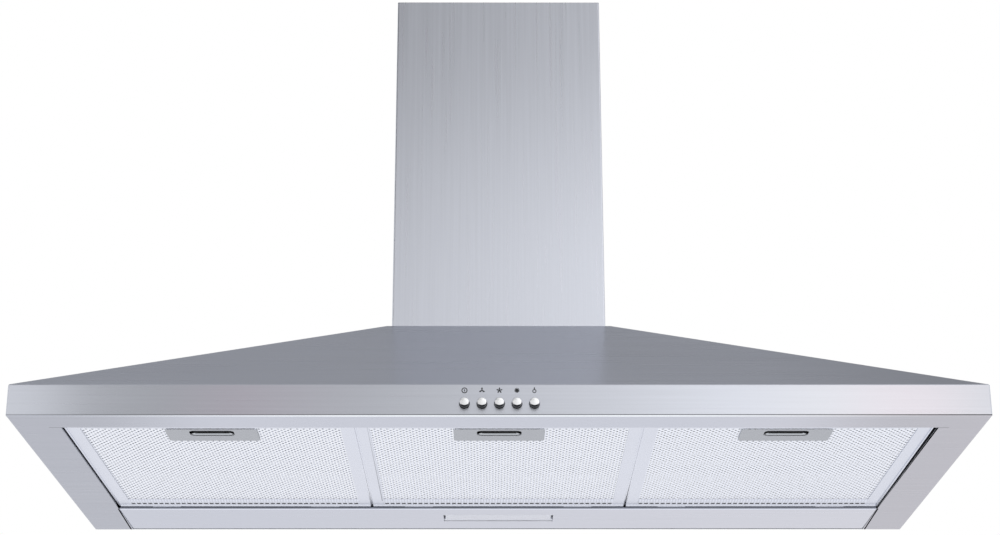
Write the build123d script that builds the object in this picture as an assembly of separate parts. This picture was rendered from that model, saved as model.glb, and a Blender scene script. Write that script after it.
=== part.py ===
from build123d import *
import os
from math import cos, radians, sin

# Wall-mounted chimney range hood. Millimetres.
# While it is drawn, X runs to the viewer's right, the wall is the plane Y = 0, the front lip is at
# -Y, and Z = 0 is the underside of the canopy. save() then lowers everything so that the origin is
# midway between the two hanging holes, on the wall plane.

# ---- canopy ----------------------------------------------------------------------------
hood_width = 900.0
hood_depth = 450.0
lip_height = 30.0
canopy_height = 154.0
sheet = 1.0
corner_round = 1.5
front_flange = 38.0
side_flange = 43.0
return_height = 4.2
top_rim = 22.0
top_margin = 5.0

# ---- back plate and hanging holes ------------------------------------------------------
back_thickness = 1.5
hang_height = 118.0
hang_spacing = 300.0
hang_hole_radius = 4.5

# ---- chimney covers --------------------------------------------------------------------
chimney_width = 220.0
chimney_depth = 248.0
chimney_top = 530.0
cover_sheet = 0.8
cover_gap = 1.0
cover_lip = 12.0
cover_wall_gap = 0.5
cover_round = 1.5
upper_drop = 3.0
upper_lift = 8.0
upper_bracket_height = 30.0
upper_bracket_depth = 14.0
upper_bracket_drop = 5.0
upper_screw_spacing = 120.0
upper_screw_radius = 3.0

# ---- light panel and lamp --------------------------------------------------------------
panel_depth = 92.0
panel_rear_gap = 6.0
panel_upstand = 15.0
panel_tab = 22.0
bead_radius = 1.5
lens_length = 118.0
lens_depth = 29.0
lens_thickness = 3.0
lens_rear = 40.5
lens_recess = 0.6
lens_gap = 0.5
lens_pin_radius = 0.8
lens_pin_length = 2.2
notch_width = 1.6
notch_depth = 16.0
notch_front = 4.5
lamp_wall = 2.5
lamp_height = 20.0
led_count = 3
led_board_length = 96.0
led_board_depth = 12.0
led_board_thickness = 1.6
led_size = 5.0
led_thickness = 1.0

# ---- grease filters --------------------------------------------------------------------
filter_count = 3
filter_gap = 1.0
filter_side_gap = 1.75
filter_base = 3.0
filter_height = 10.0
filter_front_gap = 0.7
filter_border = 13.0
filter_rear_border = 21.0
frame_sheet = 0.8
mesh_thickness = 0.5
mesh_layers = 4
mesh_columns = 18
mesh_rows = 14
mesh_open_share = 0.72
mesh_gap = 0.1
hook_gap = 0.3
hook_wall = 1.5
hook_width = 30.0
hook_offset = 85.0

# ---- filter handle and latch -----------------------------------------------------------
handle_width = 86.0
handle_depth = 39.0
handle_sheet = 1.0
handle_front = 15.3
handle_round = 3.0
cup_inset = 1.5
cup_height = 8.6
slot_width = 42.0
slot_depth = 17.5
slot_front = 4.5
slot_round = 5.0
latch_thickness = 2.0
latch_lift = 0.6
latch_travel = 7.0
latch_width = 54.0
latch_rail = 5.5
latch_bar_depth = 8.0
latch_cross_depth = 5.7
grip_inset = 1.5
latch_rear_lap = 1.0
nose_width = 24.0
nose_clear = 1.0
latch_clear = 3.8
slide_gap = 0.4
spring_radius = 2.0
spring_wire = 0.3
spring_turns = 9

# ---- push buttons ----------------------------------------------------------------------
button_count = 5
button_pitch = 16.0
button_radius = 4.5
button_reach = 8.0
button_travel = 3.0
button_height = 11.75
button_gap = 0.3
button_round = 0.6
button_collar = 5.5
button_collar_length = 1.5
button_stem = 2.5
button_rear_gap = 5.2
switch_length = 88.0
switch_depth = 24.0
switch_height = 20.0
switch_wall = 3.0
switch_gap = 2.5
strap_depth = 12.0
strap_foot = 10.0

# ---- blower ----------------------------------------------------------------------------
blower_y = -110.0
blower_z = 195.0
blower_half_width = 80.0
scroll_wall = 2.0
tongue_angle = 60.0
scroll_start = 78.0
scroll_growth = 40.0
scroll_points = 12
scroll_top = 290.0
inlet_radius = 62.0
inlet_ring_width = 14.0
inlet_ring_thickness = 3.0
inlet_bars = 8
guard_bar = 2.0
guard_inner = 18.0
guard_middle = 40.0
ear_thickness = 4.0
ear_width = 60.0
ear_inset = 15.0
ear_end_gap = 4.0
ear_screw_inset = 8.0
ear_screw_radius = 2.5
ear_screw_reach = 8.0
ear_screw_head = 3.0
wheel_radius = 68.0
wheel_depth = 12.0
wheel_half_width = 72.0
blade_count = 36
blade_thickness = 1.2
blade_depth = 10.8
blade_angle = 30.0
wheel_sheet = 2.0
motor_radius = 38.0
motor_length = 64.0
motor_inset = 4.0
motor_round = 3.0
motor_boss = 2.5
motor_boss_radius = 10.0
shaft_radius = 4.0
shaft_gap = 0.05
shaft_inset = 10.0
hub_radius = 12.0
hub_length = 22.0
spider_arms = 4
spider_width = 10.0
spider_thickness = 3.0
spider_boss = 21.0

# ---- outlet collar and back-draught flaps ----------------------------------------------
collar_radius = 74.5
collar_wall = 2.0
collar_height = 48.0
collar_plate = 3.0
collar_margin = 5.0
flap_height = 20.0
flap_gap = 0.8
flap_thickness = 1.0
rod_radius = 1.5
rod_gap = 0.1
knuckle_wall = 1.2
knuckle_length = 18.0
knuckle_gap = 0.3
knuckle_start = 58.0
knuckle_step = 20.0
knuckle_span = 80.0
stop_width = 2.5
stop_height = 2.0

# ---- electrics -------------------------------------------------------------------------
box_inset = 152.0
box_length = 90.0
box_depth = 43.0
box_height = 55.0
box_base = 18.0
box_wall = 2.0
box_lid = 2.0
lid_screw_inset = 6.0
lid_screw_head = 1.5
gland_radius = 8.0
gland_bore = 4.0
gland_thread = 5.4
gland_height = 33.0
gland_nut = 6.0
gland_tail = 5.0
fit_gap = 0.2
gland_length = 14.0
terminal_count = 4
terminal_pitch = 11.0
terminal_depth = 14.0
terminal_height = 18.0
terminal_well = 2.2
capacitor_radius = 14.0
capacitor_length = 60.0
capacitor_stud = 4.0
capacitor_nut = 4.0
can_round = 1.5
driver_length = 80.0
driver_depth = 26.0
driver_height = 24.0
driver_foot = 10.0

# ---- places worked out from the sizes above --------------------------------------------
half_width = hood_width / 2
opening_x = half_width - side_flange
opening_front = -hood_depth + front_flange
top_x = chimney_width / 2 + top_margin
top_y = -chimney_depth - top_margin
panel_front = -panel_rear_gap - panel_depth
bead_y = panel_front + bead_radius
bead_z = bead_radius
filter_front = opening_front + filter_front_gap
filter_rear = bead_y - bead_radius - hook_gap - hook_wall / 2
filter_width = (2 * (opening_x - filter_side_gap) - (filter_count - 1) * filter_gap) / filter_count
filter_pitch = filter_width + filter_gap
filter_names = ["filter_left", "filter_centre", "filter_right"]
handle_y = opening_front + handle_front
latch_z = return_height + latch_lift
latch_front = filter_front + frame_sheet + latch_clear
nose_tip = opening_front + nose_clear - latch_travel
box_x = opening_x - box_inset
driver_x = box_inset - opening_x
outlet_front = blower_y - scroll_start - scroll_growth * (180 + tongue_angle) / 360
tongue_y = blower_y + scroll_start * cos(radians(tongue_angle))
collar_y = (outlet_front + tongue_y) / 2
collar_base = scroll_top + collar_plate
flap_z = collar_base + flap_height
button_names = ["power_button", "low_button", "medium_button", "high_button", "light_button"]


def block(x0, x1, y0, y1, z0, z1):
    """A box between two corners."""
    size = (x1 - x0, y1 - y0, z1 - z0)
    return Pos((x0 + x1) / 2, (y0 + y1) / 2, (z0 + z1) / 2) * Box(*size)


def rod_x(radius, x0, x1, y, z):
    """A round bar along X."""
    return Pos((x0 + x1) / 2, y, z) * Rot(0, 90, 0) * Cylinder(radius, abs(x1 - x0))


def rod_y(radius, x, y0, y1, z):
    """A round bar along Y."""
    return Pos(x, (y0 + y1) / 2, z) * Rot(90, 0, 0) * Cylinder(radius, abs(y1 - y0))


def rod_z(radius, x, y, z0, z1):
    """A round bar along Z."""
    return Pos(x, y, (z0 + z1) / 2) * Cylinder(radius, z1 - z0)


def save(name, *solids):
    """Write one sub-part, moved so that the origin is midway between the hanging holes."""
    shape = Compound(children=[Pos(0, 0, -hang_height) * s for g in solids for s in g.solids()])
    export_step(shape, f"parts/{name}.step")


# ---- canopy ----------------------------------------------------------------------------

def canopy_front(inset):
    """The canopy's outline seen from the front, drawn in on every side."""
    points = [
        (-half_width, 0), (half_width, 0), (half_width, lip_height),
        (top_x, canopy_height), (-top_x, canopy_height), (-half_width, lip_height),
    ]
    outline = Polygon(*points, align=None)
    return offset(outline, -inset, kind=Kind.INTERSECTION) if inset else outline


def canopy_side(inset, back):
    """The canopy's outline seen from the side, open towards the wall."""
    points = [
        (-hood_depth, 0), (-hood_depth, lip_height), (top_y, canopy_height),
        (back, canopy_height), (back, 0),
    ]
    outline = Polygon(*points, align=None)
    return offset(outline, -inset, kind=Kind.INTERSECTION) if inset else outline


def canopy_volume(inset, back):
    along_x = extrude(Plane.YZ * canopy_side(inset, back), hood_width, both=True)
    along_y = extrude(Plane.XZ * canopy_front(inset), hood_depth * 2, both=True)
    return along_x & along_y


def canopy_shell():
    """One folded and welded sheet: sloping top, lip, underside flanges and their upturned returns."""
    outside = canopy_volume(0, -back_thickness)
    front_edges = [e for e in outside.edges() if e.center().Y < -back_thickness - 0.1]
    lip_edges = [e for e in front_edges if e.center().Z < lip_height + 0.1]
    outside = fillet(lip_edges, corner_round)
    shell = outside - canopy_volume(sheet, hood_depth)
    shell -= block(-opening_x, opening_x, opening_front, 0, -sheet, sheet * 2)
    hole_x = chimney_width / 2 - top_rim / 2
    low, high = canopy_height - 2 * sheet, canopy_height + sheet
    shell -= block(-hole_x, hole_x, top_rim - chimney_depth, -top_rim, low, high)
    outer_x, outer_y = opening_x + sheet, opening_front - sheet
    returns = block(-outer_x, outer_x, outer_y, panel_front - bead_radius, 0, return_height)
    returns -= block(-opening_x, opening_x, opening_front, 0, -sheet, return_height + sheet)
    shell += returns
    hole = button_radius + button_gap
    for x in button_places():
        shell -= rod_y(hole, x, -hood_depth - sheet, -hood_depth + 2 * sheet, button_height)
    for x, y in ear_screw_places():
        shell -= rod_z(ear_screw_radius + slide_gap / 2, x, y, low, high)
    return shell


def back_plate():
    """Galvanised plate that closes the canopy's back and hangs it on the wall."""
    plate = Pos(0, -back_thickness, 0) * extrude(Plane.XZ * canopy_front(sheet / 2), -back_thickness)
    y0, y1 = -2 * back_thickness, back_thickness
    for x in (-hang_spacing / 2, hang_spacing / 2):
        plate -= rod_y(hang_hole_radius, x, y0, y1, hang_height)
    return plate


# ---- light panel and lamp --------------------------------------------------------------

def light_panel():
    """Fixed panel behind the filters. They hook on the round bead along its front edge."""
    half = opening_x - filter_gap
    rear = -panel_rear_gap
    panel = block(-half, half, bead_y, rear, 0, sheet)
    panel += rod_x(bead_radius, -half, half, bead_y, bead_z)
    panel += block(-half, half, rear - sheet, rear, 0, panel_upstand)
    for side in (-1, 1):
        x0, x1 = sorted((side * (half - panel_tab), side * (opening_x + panel_tab)))
        panel += block(x0, x1, bead_y + 2 * bead_radius, rear - sheet, sheet, 2 * sheet)
    cut_x = lens_length / 2 + lens_gap
    y0, y1 = lens_front() - lens_gap, lens_gap - lens_rear
    return panel - block(-cut_x, cut_x, y0, y1, -sheet, 2 * sheet)


def lens_front():
    return -lens_rear - lens_depth


def lens_axis():
    """Y and Z of the lens's hinge line, inside its rounded rear edge."""
    return -lens_rear - lens_thickness / 2, lens_recess + lens_thickness / 2


def lamp_lens():
    """Diffuser with a rounded rear edge, and a pivot pin and a finger notch at each end."""
    y, z = lens_axis()
    half = lens_length / 2
    lens = block(-half, half, lens_front(), y, lens_recess, lens_recess + lens_thickness)
    lens += rod_x(lens_thickness / 2, -half, half, y, z)
    notch_y = lens_front() + notch_front
    for side in (-1, 1):
        x0, x1 = sorted((side * (half - notch_width), side * (half + 1)))
        lens -= block(x0, x1, notch_y, notch_y + notch_depth, 0, lens_recess + lens_thickness + 1)
    return lens + rod_x(lens_pin_radius, -half - lens_pin_length, half + lens_pin_length, y, z)


def lamp_housing():
    """Tray over the lens, with blind sockets for the lens pins."""
    y, z = lens_axis()
    half_in = lens_length / 2 + lens_gap
    half_out = half_in + lamp_wall
    front, rear = lens_front() - lens_gap, -lens_rear + lens_gap
    tray = block(-half_out, half_out, front - lamp_wall, rear + lamp_wall, sheet, sheet + lamp_height)
    tray -= block(-half_in, half_in, front, rear, 0, sheet + lamp_height - lamp_wall)
    reach = lens_length / 2 + lens_pin_length + lens_gap / 2
    return tray - rod_x(lens_pin_radius + rod_gap, -reach, reach, y, z)


def led_board():
    """Circuit board under the tray's ceiling, with its square light-emitting packages."""
    top = sheet + lamp_height - lamp_wall
    low = top - led_board_thickness
    middle = (lens_front() - lens_rear) / 2
    half, half_depth = led_board_length / 2, led_board_depth / 2
    board = block(-half, half, middle - half_depth, middle + half_depth, low, top)
    reach = led_size / 2
    for i in range(led_count):
        x = (i - (led_count - 1) / 2) * led_board_length / led_count
        board += block(x - reach, x + reach, middle - reach, middle + reach, low - led_thickness, low)
    return board


# ---- grease filters --------------------------------------------------------------------

def filter_frame(x):
    """Sheet channel round the mesh, with two hooks that hang on the light panel's bead."""
    half = filter_width / 2
    base, top = filter_base, filter_base + filter_height
    frame = block(x - half, x + half, filter_front, filter_rear, base, top)
    inside = half - frame_sheet
    frame -= block(
        x - inside, x + inside, filter_front + frame_sheet, filter_rear - frame_sheet,
        base + frame_sheet, top - frame_sheet,
    )
    window = half - filter_border
    frame -= block(
        x - window, x + window, filter_front + filter_border, filter_rear - filter_rear_border,
        base - sheet, top + sheet,
    )
    gate = nose_width / 2 + slide_gap
    low, high = latch_z - slide_gap, latch_z + latch_thickness + slide_gap
    frame -= block(x - gate, x + gate, filter_front - sheet, filter_front + 2 * frame_sheet, low, high)
    for side in (-1, 1):
        frame += filter_hook(x + side * hook_offset)
    return frame


def filter_hook(x):
    """Ring sector over the bead, joined to the frame's rear wall."""
    inner = bead_radius + hook_gap
    outer = inner + hook_wall
    ring = Circle(outer) - Circle(inner)
    ring &= Pos(-outer / 2 + inner / 2, outer / 2) * Rectangle(outer + inner, outer)
    x0, x1 = x - hook_width / 2, x + hook_width / 2
    hook = Pos(x0, bead_y, bead_z) * extrude(Plane.YZ * ring, hook_width)
    low, high = filter_base, filter_base + hook_wall
    return hook + block(x0, x1, filter_rear - frame_sheet, bead_y - inner, low, high)


def mesh_sheet(x, z, cut_front, cut_half):
    """One sheet of mesh held in the frame's channel, cut out round the handle cup."""
    inset = frame_sheet + slide_gap
    half = filter_width / 2 - inset
    body = block(x - half, x + half, filter_front + inset, filter_rear - inset, z, z + mesh_thickness)
    cut_rear = cup_rear() + slide_gap
    low, high = z - mesh_thickness, z + 2 * mesh_thickness
    return body - block(x - cut_half, x + cut_half, cut_front, cut_rear, low, high)


def face_mesh(x):
    """The visible sheet, with staggered diamond openings."""
    z = filter_base + frame_sheet + mesh_gap
    mesh = mesh_sheet(x, z, cup_front() - slide_gap, cup_half() + slide_gap)
    half = filter_width / 2 - filter_border
    front, rear = filter_front + filter_border, filter_rear - filter_rear_border
    pitch_x, pitch_y = 2 * half / mesh_columns, (rear - front) / mesh_rows
    dx, dy = pitch_x * mesh_open_share / 2, pitch_y * mesh_open_share / 2
    diamond = Polygon((-dx, 0), (0, -dy), (dx, 0), (0, dy), align=None)
    places = []
    for row in range(mesh_rows):
        for column in range(mesh_columns - row % 2):
            px = x - half + (column + 0.5 + 0.5 * (row % 2)) * pitch_x
            py = front + (row + 0.5) * pitch_y
            near_cup = abs(px - x) < cup_half() + pitch_x * 0.6 and py < cup_rear() + pitch_y * 0.6
            if not near_cup:
                places.append(Pos(px, py, z - mesh_thickness) * extrude(diamond, 3 * mesh_thickness))
    return mesh - places


def mesh_pack(x):
    """The inner layers of mesh, which stop the grease."""
    low = filter_base + frame_sheet + 2 * mesh_gap + 2 * mesh_thickness
    high = filter_base + filter_height - frame_sheet - mesh_gap - mesh_thickness
    step = (high - low) / (mesh_layers - 1)
    front = filter_front + frame_sheet
    return [mesh_sheet(x, low + i * step, front, cup_half() + slide_gap) for i in range(mesh_layers)]


def cup_half():
    return handle_width / 2 - cup_inset


def cup_front():
    return handle_y + cup_inset


def cup_rear():
    return handle_y + handle_depth - cup_inset


def handle_plate(x):
    """Face plate with a finger slot, on a cup that the latch slides in."""
    base, top = filter_base, filter_base + frame_sheet
    half = handle_width / 2
    plate = block(x - half, x + half, handle_y, handle_y + handle_depth, base - handle_sheet / 2, top)
    plate = fillet(plate.edges().filter_by(Axis.Z), handle_round)
    slot_x, slot_y = slot_width / 2, handle_y + slot_front
    slot = block(x - slot_x, x + slot_x, slot_y, slot_y + slot_depth, base - sheet, top + sheet)
    slot = fillet(slot.edges().filter_by(Axis.Z), slot_round)
    wall = handle_sheet
    inside = cup_half() - wall
    cup = block(x - cup_half(), x + cup_half(), cup_front(), cup_rear(), base, base + cup_height)
    cup -= block(
        x - inside, x + inside, cup_front() + wall, cup_rear() - wall,
        base - sheet, base + cup_height - wall,
    )
    gate = latch_width / 2 + slide_gap
    low, high = latch_z - slide_gap, latch_z + latch_thickness + slide_gap
    cup -= block(x - gate, x + gate, cup_front() - sheet, cup_front() + 2 * wall, low, high)
    return plate - slot + cup


def latch_rear():
    return handle_y + slot_front + slot_depth - latch_rear_lap


def latch(x):
    """Sliding frame with the finger bar at its rear and the nose at its front."""
    half = latch_width / 2
    low, high = latch_z, latch_z + latch_thickness
    front = latch_front
    rear = latch_rear()
    slider = block(x - half, x + half, front, rear, low, high)
    slider -= block(
        x - half + latch_rail, x + half - latch_rail, front + latch_cross_depth, rear - latch_bar_depth,
        low - sheet, high + sheet,
    )
    nose_x, nose_rear = nose_width / 2, front + latch_cross_depth / 2
    nose = block(x - nose_x, x + nose_x, nose_tip, nose_rear, low, high)
    grip_x = slot_width / 2 - grip_inset
    grip_y = rear - latch_bar_depth
    grip_z = filter_base + frame_sheet + slide_gap / 2
    grip = block(x - grip_x, x + grip_x, grip_y, grip_y + grip_inset, grip_z, low)
    return slider + nose + grip


def latch_spring(x):
    """Coil spring between the finger bar and the cup's rear wall."""
    y0 = latch_rear()
    y1 = cup_rear() - handle_sheet
    z = latch_z + latch_thickness / 2 + spring_radius / 4
    length = y1 - y0 - 2 * spring_wire
    coil = Helix(length / spring_turns, length, spring_radius)
    profile = Plane(coil @ 0, z_dir=coil % 0) * Circle(spring_wire)
    return Pos(x, y0 + spring_wire, z) * Rot(-90, 0, 0) * sweep(profile, path=coil)


# ---- buttons and switches --------------------------------------------------------------

def button_places():
    return [(i - (button_count - 1) / 2) * button_pitch for i in range(button_count)]


def switch_front():
    return -hood_depth + sheet + switch_gap


def button(x):
    """Round cap through the lip, with a collar that stops it behind the switch block's face."""
    z = button_height
    collar_front = switch_front() + switch_wall + slide_gap / 2
    cap = rod_y(button_radius, x, -hood_depth - button_reach, collar_front, z)
    face = cap.edges().filter_by(GeomType.CIRCLE).sort_by(Axis.Y)[0]
    cap = fillet(face, button_round)
    collar_rear = collar_front + button_collar_length
    cap += rod_y(button_collar, x, collar_front, collar_rear, z)
    stem_end = switch_front() + switch_depth - switch_wall - button_travel - button_rear_gap
    return cap + rod_y(button_stem, x, collar_rear, stem_end, z)


def switch_block():
    """Moulded block of five push switches, each with a guide bore and a chamber behind it."""
    front = switch_front()
    rear = front + switch_depth
    low, high = button_height - switch_height / 2, button_height + switch_height / 2
    body = block(-switch_length / 2, switch_length / 2, front, rear, low, high)
    bore = button_radius + button_gap / 2
    chamber = button_collar + button_gap
    for x in button_places():
        body -= rod_y(bore, x, front - sheet, front + 2 * switch_wall, button_height)
        body -= rod_y(chamber, x, front + switch_wall, rear - switch_wall, button_height)
    return body


def switch_strap():
    """Hat-shaped strap that holds the switch block down on the front flange."""
    top = button_height + switch_height / 2
    half = switch_length / 2 + slide_gap / 2
    y0 = switch_front() + (switch_depth - strap_depth) / 2
    y1 = y0 + strap_depth
    strap = block(-half - sheet, half + sheet, y0, y1, sheet, top + sheet)
    strap -= block(-half, half, y0 - sheet, y1 + sheet, 0, top)
    for side in (-1, 1):
        x0, x1 = sorted((side * half, side * (half + sheet + strap_foot)))
        strap += block(x0, x1, y0, y1, sheet, 2 * sheet)
    return strap


# ---- blower ----------------------------------------------------------------------------

def scroll_outline(inset):
    """Spiral casing seen from the side, growing from the tongue round to the outlet."""
    points = []
    for i in range(scroll_points + 1):
        turned = (180 + tongue_angle) * i / scroll_points
        radius = scroll_start + scroll_growth * turned / 360 - inset
        angle = radians(tongue_angle - turned)
        points.append((blower_y + radius * cos(angle), blower_z + radius * sin(angle)))
    first, last = points[0], points[-1]
    outlet = Polyline(last, (last[0], scroll_top), (first[0], scroll_top), first)
    return make_face(Spline(*points) + outlet)


def scroll_half(side):
    """One moulded half of the casing, with mounting ears at the front and the rear."""
    reach = side * blower_half_width
    outside = extrude(Plane.YZ * scroll_outline(0), reach)
    inside = extrude(Plane.YZ * scroll_outline(scroll_wall), side * (blower_half_width - scroll_wall))
    in0, in1 = sorted((0, side * (blower_half_width - scroll_wall)))
    inside += block(
        in0, in1, outlet_front + scroll_wall, tongue_y - scroll_wall,
        scroll_top - 2 * scroll_wall, scroll_top + scroll_wall,
    )
    gap = ear_width / 2
    x0, x1 = sorted((side * ear_inset, side * (ear_inset + ear_width)))
    front_ear = block(x0, x1, ear_front(), blower_y - gap, canopy_height, canopy_height + ear_thickness)
    rear_ear = block(x0, x1, blower_y + gap, ear_rear(), canopy_height, canopy_height + ear_thickness)
    half = outside + front_ear + rear_ear - inside
    half -= rod_x(inlet_radius, 0, side * (blower_half_width + scroll_wall), blower_y, blower_z)
    hole = ear_screw_radius + slide_gap / 2
    for x, y in ear_screw_places():
        half -= rod_z(hole, x, y, canopy_height - sheet, canopy_height + 2 * ear_thickness)
    return half


def ear_front():
    return ear_end_gap - chimney_depth


def ear_rear():
    return -ear_end_gap


def ear_screw_places():
    x = ear_inset + ear_width / 2
    front, rear = ear_front() + ear_screw_inset, ear_rear() - ear_screw_inset
    return [(sx * x, y) for sx in (-1, 1) for y in (front, rear)]


def blower_screws():
    """Four screws that hold the casing's ears down on the canopy's top."""
    screws = []
    for x, y in ear_screw_places():
        top = canopy_height + ear_thickness
        shank = rod_z(ear_screw_radius, x, y, canopy_height - ear_screw_reach, top)
        screws.append(shank + rod_z(ear_screw_radius * 2, x, y, top, top + ear_screw_head))
    return screws


def inlet_ring(side):
    """Bell-mouth ring on one side of the casing."""
    x0, x1 = side * blower_half_width, side * (blower_half_width + inlet_ring_thickness)
    ring = rod_x(inlet_radius + inlet_ring_width, x0, x1, blower_y, blower_z)
    return ring - rod_x(inlet_radius, x0 - side, x1 + side, blower_y, blower_z)


def inlet_guard():
    """Finger guard on the inlet away from the motor."""
    x0 = blower_half_width + inlet_ring_thickness
    x1 = x0 + guard_bar
    guard = rod_x(inlet_radius + inlet_ring_width / 2, x0, x1, blower_y, blower_z)
    guard -= rod_x(inlet_radius - guard_bar, x0 - 1, x1 + 1, blower_y, blower_z)
    for radius in (guard_inner, guard_middle):
        ring = rod_x(radius + guard_bar, x0, x1, blower_y, blower_z)
        guard += ring - rod_x(radius, x0 - 1, x1 + 1, blower_y, blower_z)
    length = inlet_radius - guard_inner
    for i in range(inlet_bars):
        bar = Pos((x0 + x1) / 2, 0, guard_inner + length / 2) * Box(guard_bar, guard_bar, length)
        guard += Pos(0, blower_y, blower_z) * Rot(360 * i / inlet_bars, 0, 0) * bar
    return guard


def motor_x():
    return motor_inset - wheel_half_width


def disc_x():
    return motor_x() + motor_length + motor_inset


def impeller():
    """Two-sided blower wheel: blades between end rings and a middle disc on a hub."""
    inner = wheel_radius - wheel_depth
    wheel = Part()
    for x in (-wheel_half_width, wheel_half_width - wheel_sheet):
        wheel += rod_x(wheel_radius, x, x + wheel_sheet, 0, 0)
        wheel -= rod_x(inner, x - 1, x + 2 * wheel_sheet, 0, 0)
    wheel += rod_x(wheel_radius, disc_x(), disc_x() + wheel_sheet, 0, 0)
    wheel += rod_x(hub_radius, disc_x(), disc_x() + hub_length, 0, 0)
    blade = Box(2 * wheel_half_width, blade_thickness, blade_depth)
    blade = Pos(0, 0, wheel_radius - wheel_depth / 2) * Rot(blade_angle, 0, 0) * blade
    wheel = wheel + [Rot(360 * i / blade_count, 0, 0) * blade for i in range(blade_count)]
    wheel -= rod_x(shaft_radius, disc_x() - 1, disc_x() + hub_length + 1, 0, 0)
    return Pos(0, blower_y, blower_z) * wheel


def shaft_start():
    return motor_x() + shaft_inset


def motor_shaft():
    return rod_x(shaft_radius, shaft_start(), disc_x() + hub_length, blower_y, blower_z)


def motor():
    """Round motor can with a bearing boss, bored for the shaft."""
    x0 = motor_x()
    x1 = x0 + motor_length
    body = rod_x(motor_radius, x0, x1, blower_y, blower_z)
    body = fillet(body.edges().filter_by(GeomType.CIRCLE), motor_round)
    body += rod_x(motor_boss_radius, x1 - 1, x1 + motor_boss, blower_y, blower_z)
    bore = shaft_radius + shaft_gap
    return body - rod_x(bore, shaft_start(), x1 + 2 * motor_boss, blower_y, blower_z)


def motor_spider():
    """Arms across the motor-side inlet that carry the motor."""
    x0 = -blower_half_width - inlet_ring_thickness
    x1 = x0 - spider_thickness
    spider = rod_x(inlet_radius + inlet_ring_width / 2, x0, x1, blower_y, blower_z)
    spider -= rod_x(inlet_radius - guard_bar, x0 + 1, x1 - 1, blower_y, blower_z)
    spider += rod_x(spider_boss, x1, motor_x(), blower_y, blower_z)
    for i in range(spider_arms):
        arm = Pos((x0 + x1) / 2, 0, inlet_radius / 2) * Box(abs(x1 - x0), spider_width, inlet_radius)
        spider += Pos(0, blower_y, blower_z) * Rot(360 * (i + 0.5) / spider_arms, 0, 0) * arm
    return spider


# ---- outlet collar and flaps -----------------------------------------------------------

def outlet_collar():
    """Square plate on the casing's outlet with the round duct collar and the flaps' stop ring."""
    half_x = blower_half_width + collar_plate
    half_y = collar_radius + collar_margin
    bore = collar_radius - collar_wall
    collar = block(-half_x, half_x, collar_y - half_y, collar_y + half_y, scroll_top, collar_base)
    collar += rod_z(collar_radius, 0, collar_y, scroll_top, collar_base + collar_height)
    collar -= rod_z(bore, 0, collar_y, scroll_top - 1, collar_base + collar_height + 1)
    low = flap_z - flap_thickness / 2 - stop_height
    stop = rod_z(bore + collar_wall / 2, 0, collar_y, low, low + stop_height)
    stop -= rod_z(bore - stop_width, 0, collar_y, low - 1, low + stop_height + 1)
    y0, y1 = collar_y - 2 * stop_width, collar_y + 2 * stop_width
    stop -= block(-bore, bore, y0, y1, low - 1, flap_z + 1)
    return collar + stop - flap_rod()


def flap_rod():
    """Round rod across the collar, its ends in blind sockets in the wall."""
    reach = collar_radius - collar_wall / 2
    return rod_x(rod_radius, -reach, reach, collar_y, flap_z)


def flap(side):
    """Half-round plate with two knuckles on the rod. side is -1 for the front flap, 1 for the rear."""
    radius = collar_radius - collar_wall - flap_gap
    knuckle = rod_radius + rod_gap + knuckle_wall
    clear = knuckle + knuckle_gap
    low, high = flap_z - flap_thickness / 2, flap_z + flap_thickness / 2
    cut = radius + 1
    y0, y1 = sorted((collar_y - side * cut, collar_y + side * clear))
    plate = rod_z(radius, 0, collar_y, low, high) - block(-cut, cut, y0, y1, low - 1, high + 1)
    for start in (-knuckle_start, knuckle_span - knuckle_start):
        x = start + knuckle_step if side > 0 else start
        y0, y1 = sorted((collar_y, collar_y + side * (clear + knuckle_wall)))
        plate += block(x, x + knuckle_length, y0, y1, low, high)
        plate += rod_x(knuckle, x, x + knuckle_length, collar_y, flap_z)
    return plate - rod_x(rod_radius + rod_gap, -cut, cut, collar_y, flap_z)


# ---- chimney covers --------------------------------------------------------------------

def cover(inset, low, high):
    """U-shaped cover, open to the wall, with its rear edges folded inwards."""
    half = chimney_width / 2 - inset
    front = -chimney_depth + inset
    rear = -cover_wall_gap - inset
    shape = block(-half, half, front, rear, low, high)
    corners = shape.edges().filter_by(Axis.Z).group_by(Axis.Y)[0]
    shape = fillet(corners, cover_round)
    wall = cover_sheet
    shape -= block(-half + wall, half - wall, front + wall, rear - wall, low - 1, high + 1)
    gap_x = half - cover_lip
    return shape - block(-gap_x, gap_x, rear - 2 * wall, rear + 1, low - 1, high + 1)


def upper_inset():
    return cover_sheet + cover_gap


def upper_top():
    return chimney_top - upper_drop


def upper_bracket():
    """Strap at the upper cover's top that is screwed to the wall, with an ear down each side."""
    half = chimney_width / 2 - upper_inset() - cover_sheet
    rear = -cover_wall_gap - upper_inset() - cover_sheet
    high = upper_top() - upper_bracket_drop
    low = high - upper_bracket_height
    strap = block(-half, half, rear - 2 * sheet, rear, low, high)
    for side in (-1, 1):
        x0, x1 = sorted((side * half, side * (half - sheet)))
        strap += block(x0, x1, rear - upper_bracket_depth, rear, low, high)
    for side in (-1, 1):
        x = side * upper_screw_spacing / 2
        strap -= rod_y(upper_screw_radius, x, rear - 4 * sheet, rear + 1, (low + high) / 2)
    return strap


# ---- electrics -------------------------------------------------------------------------

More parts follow.
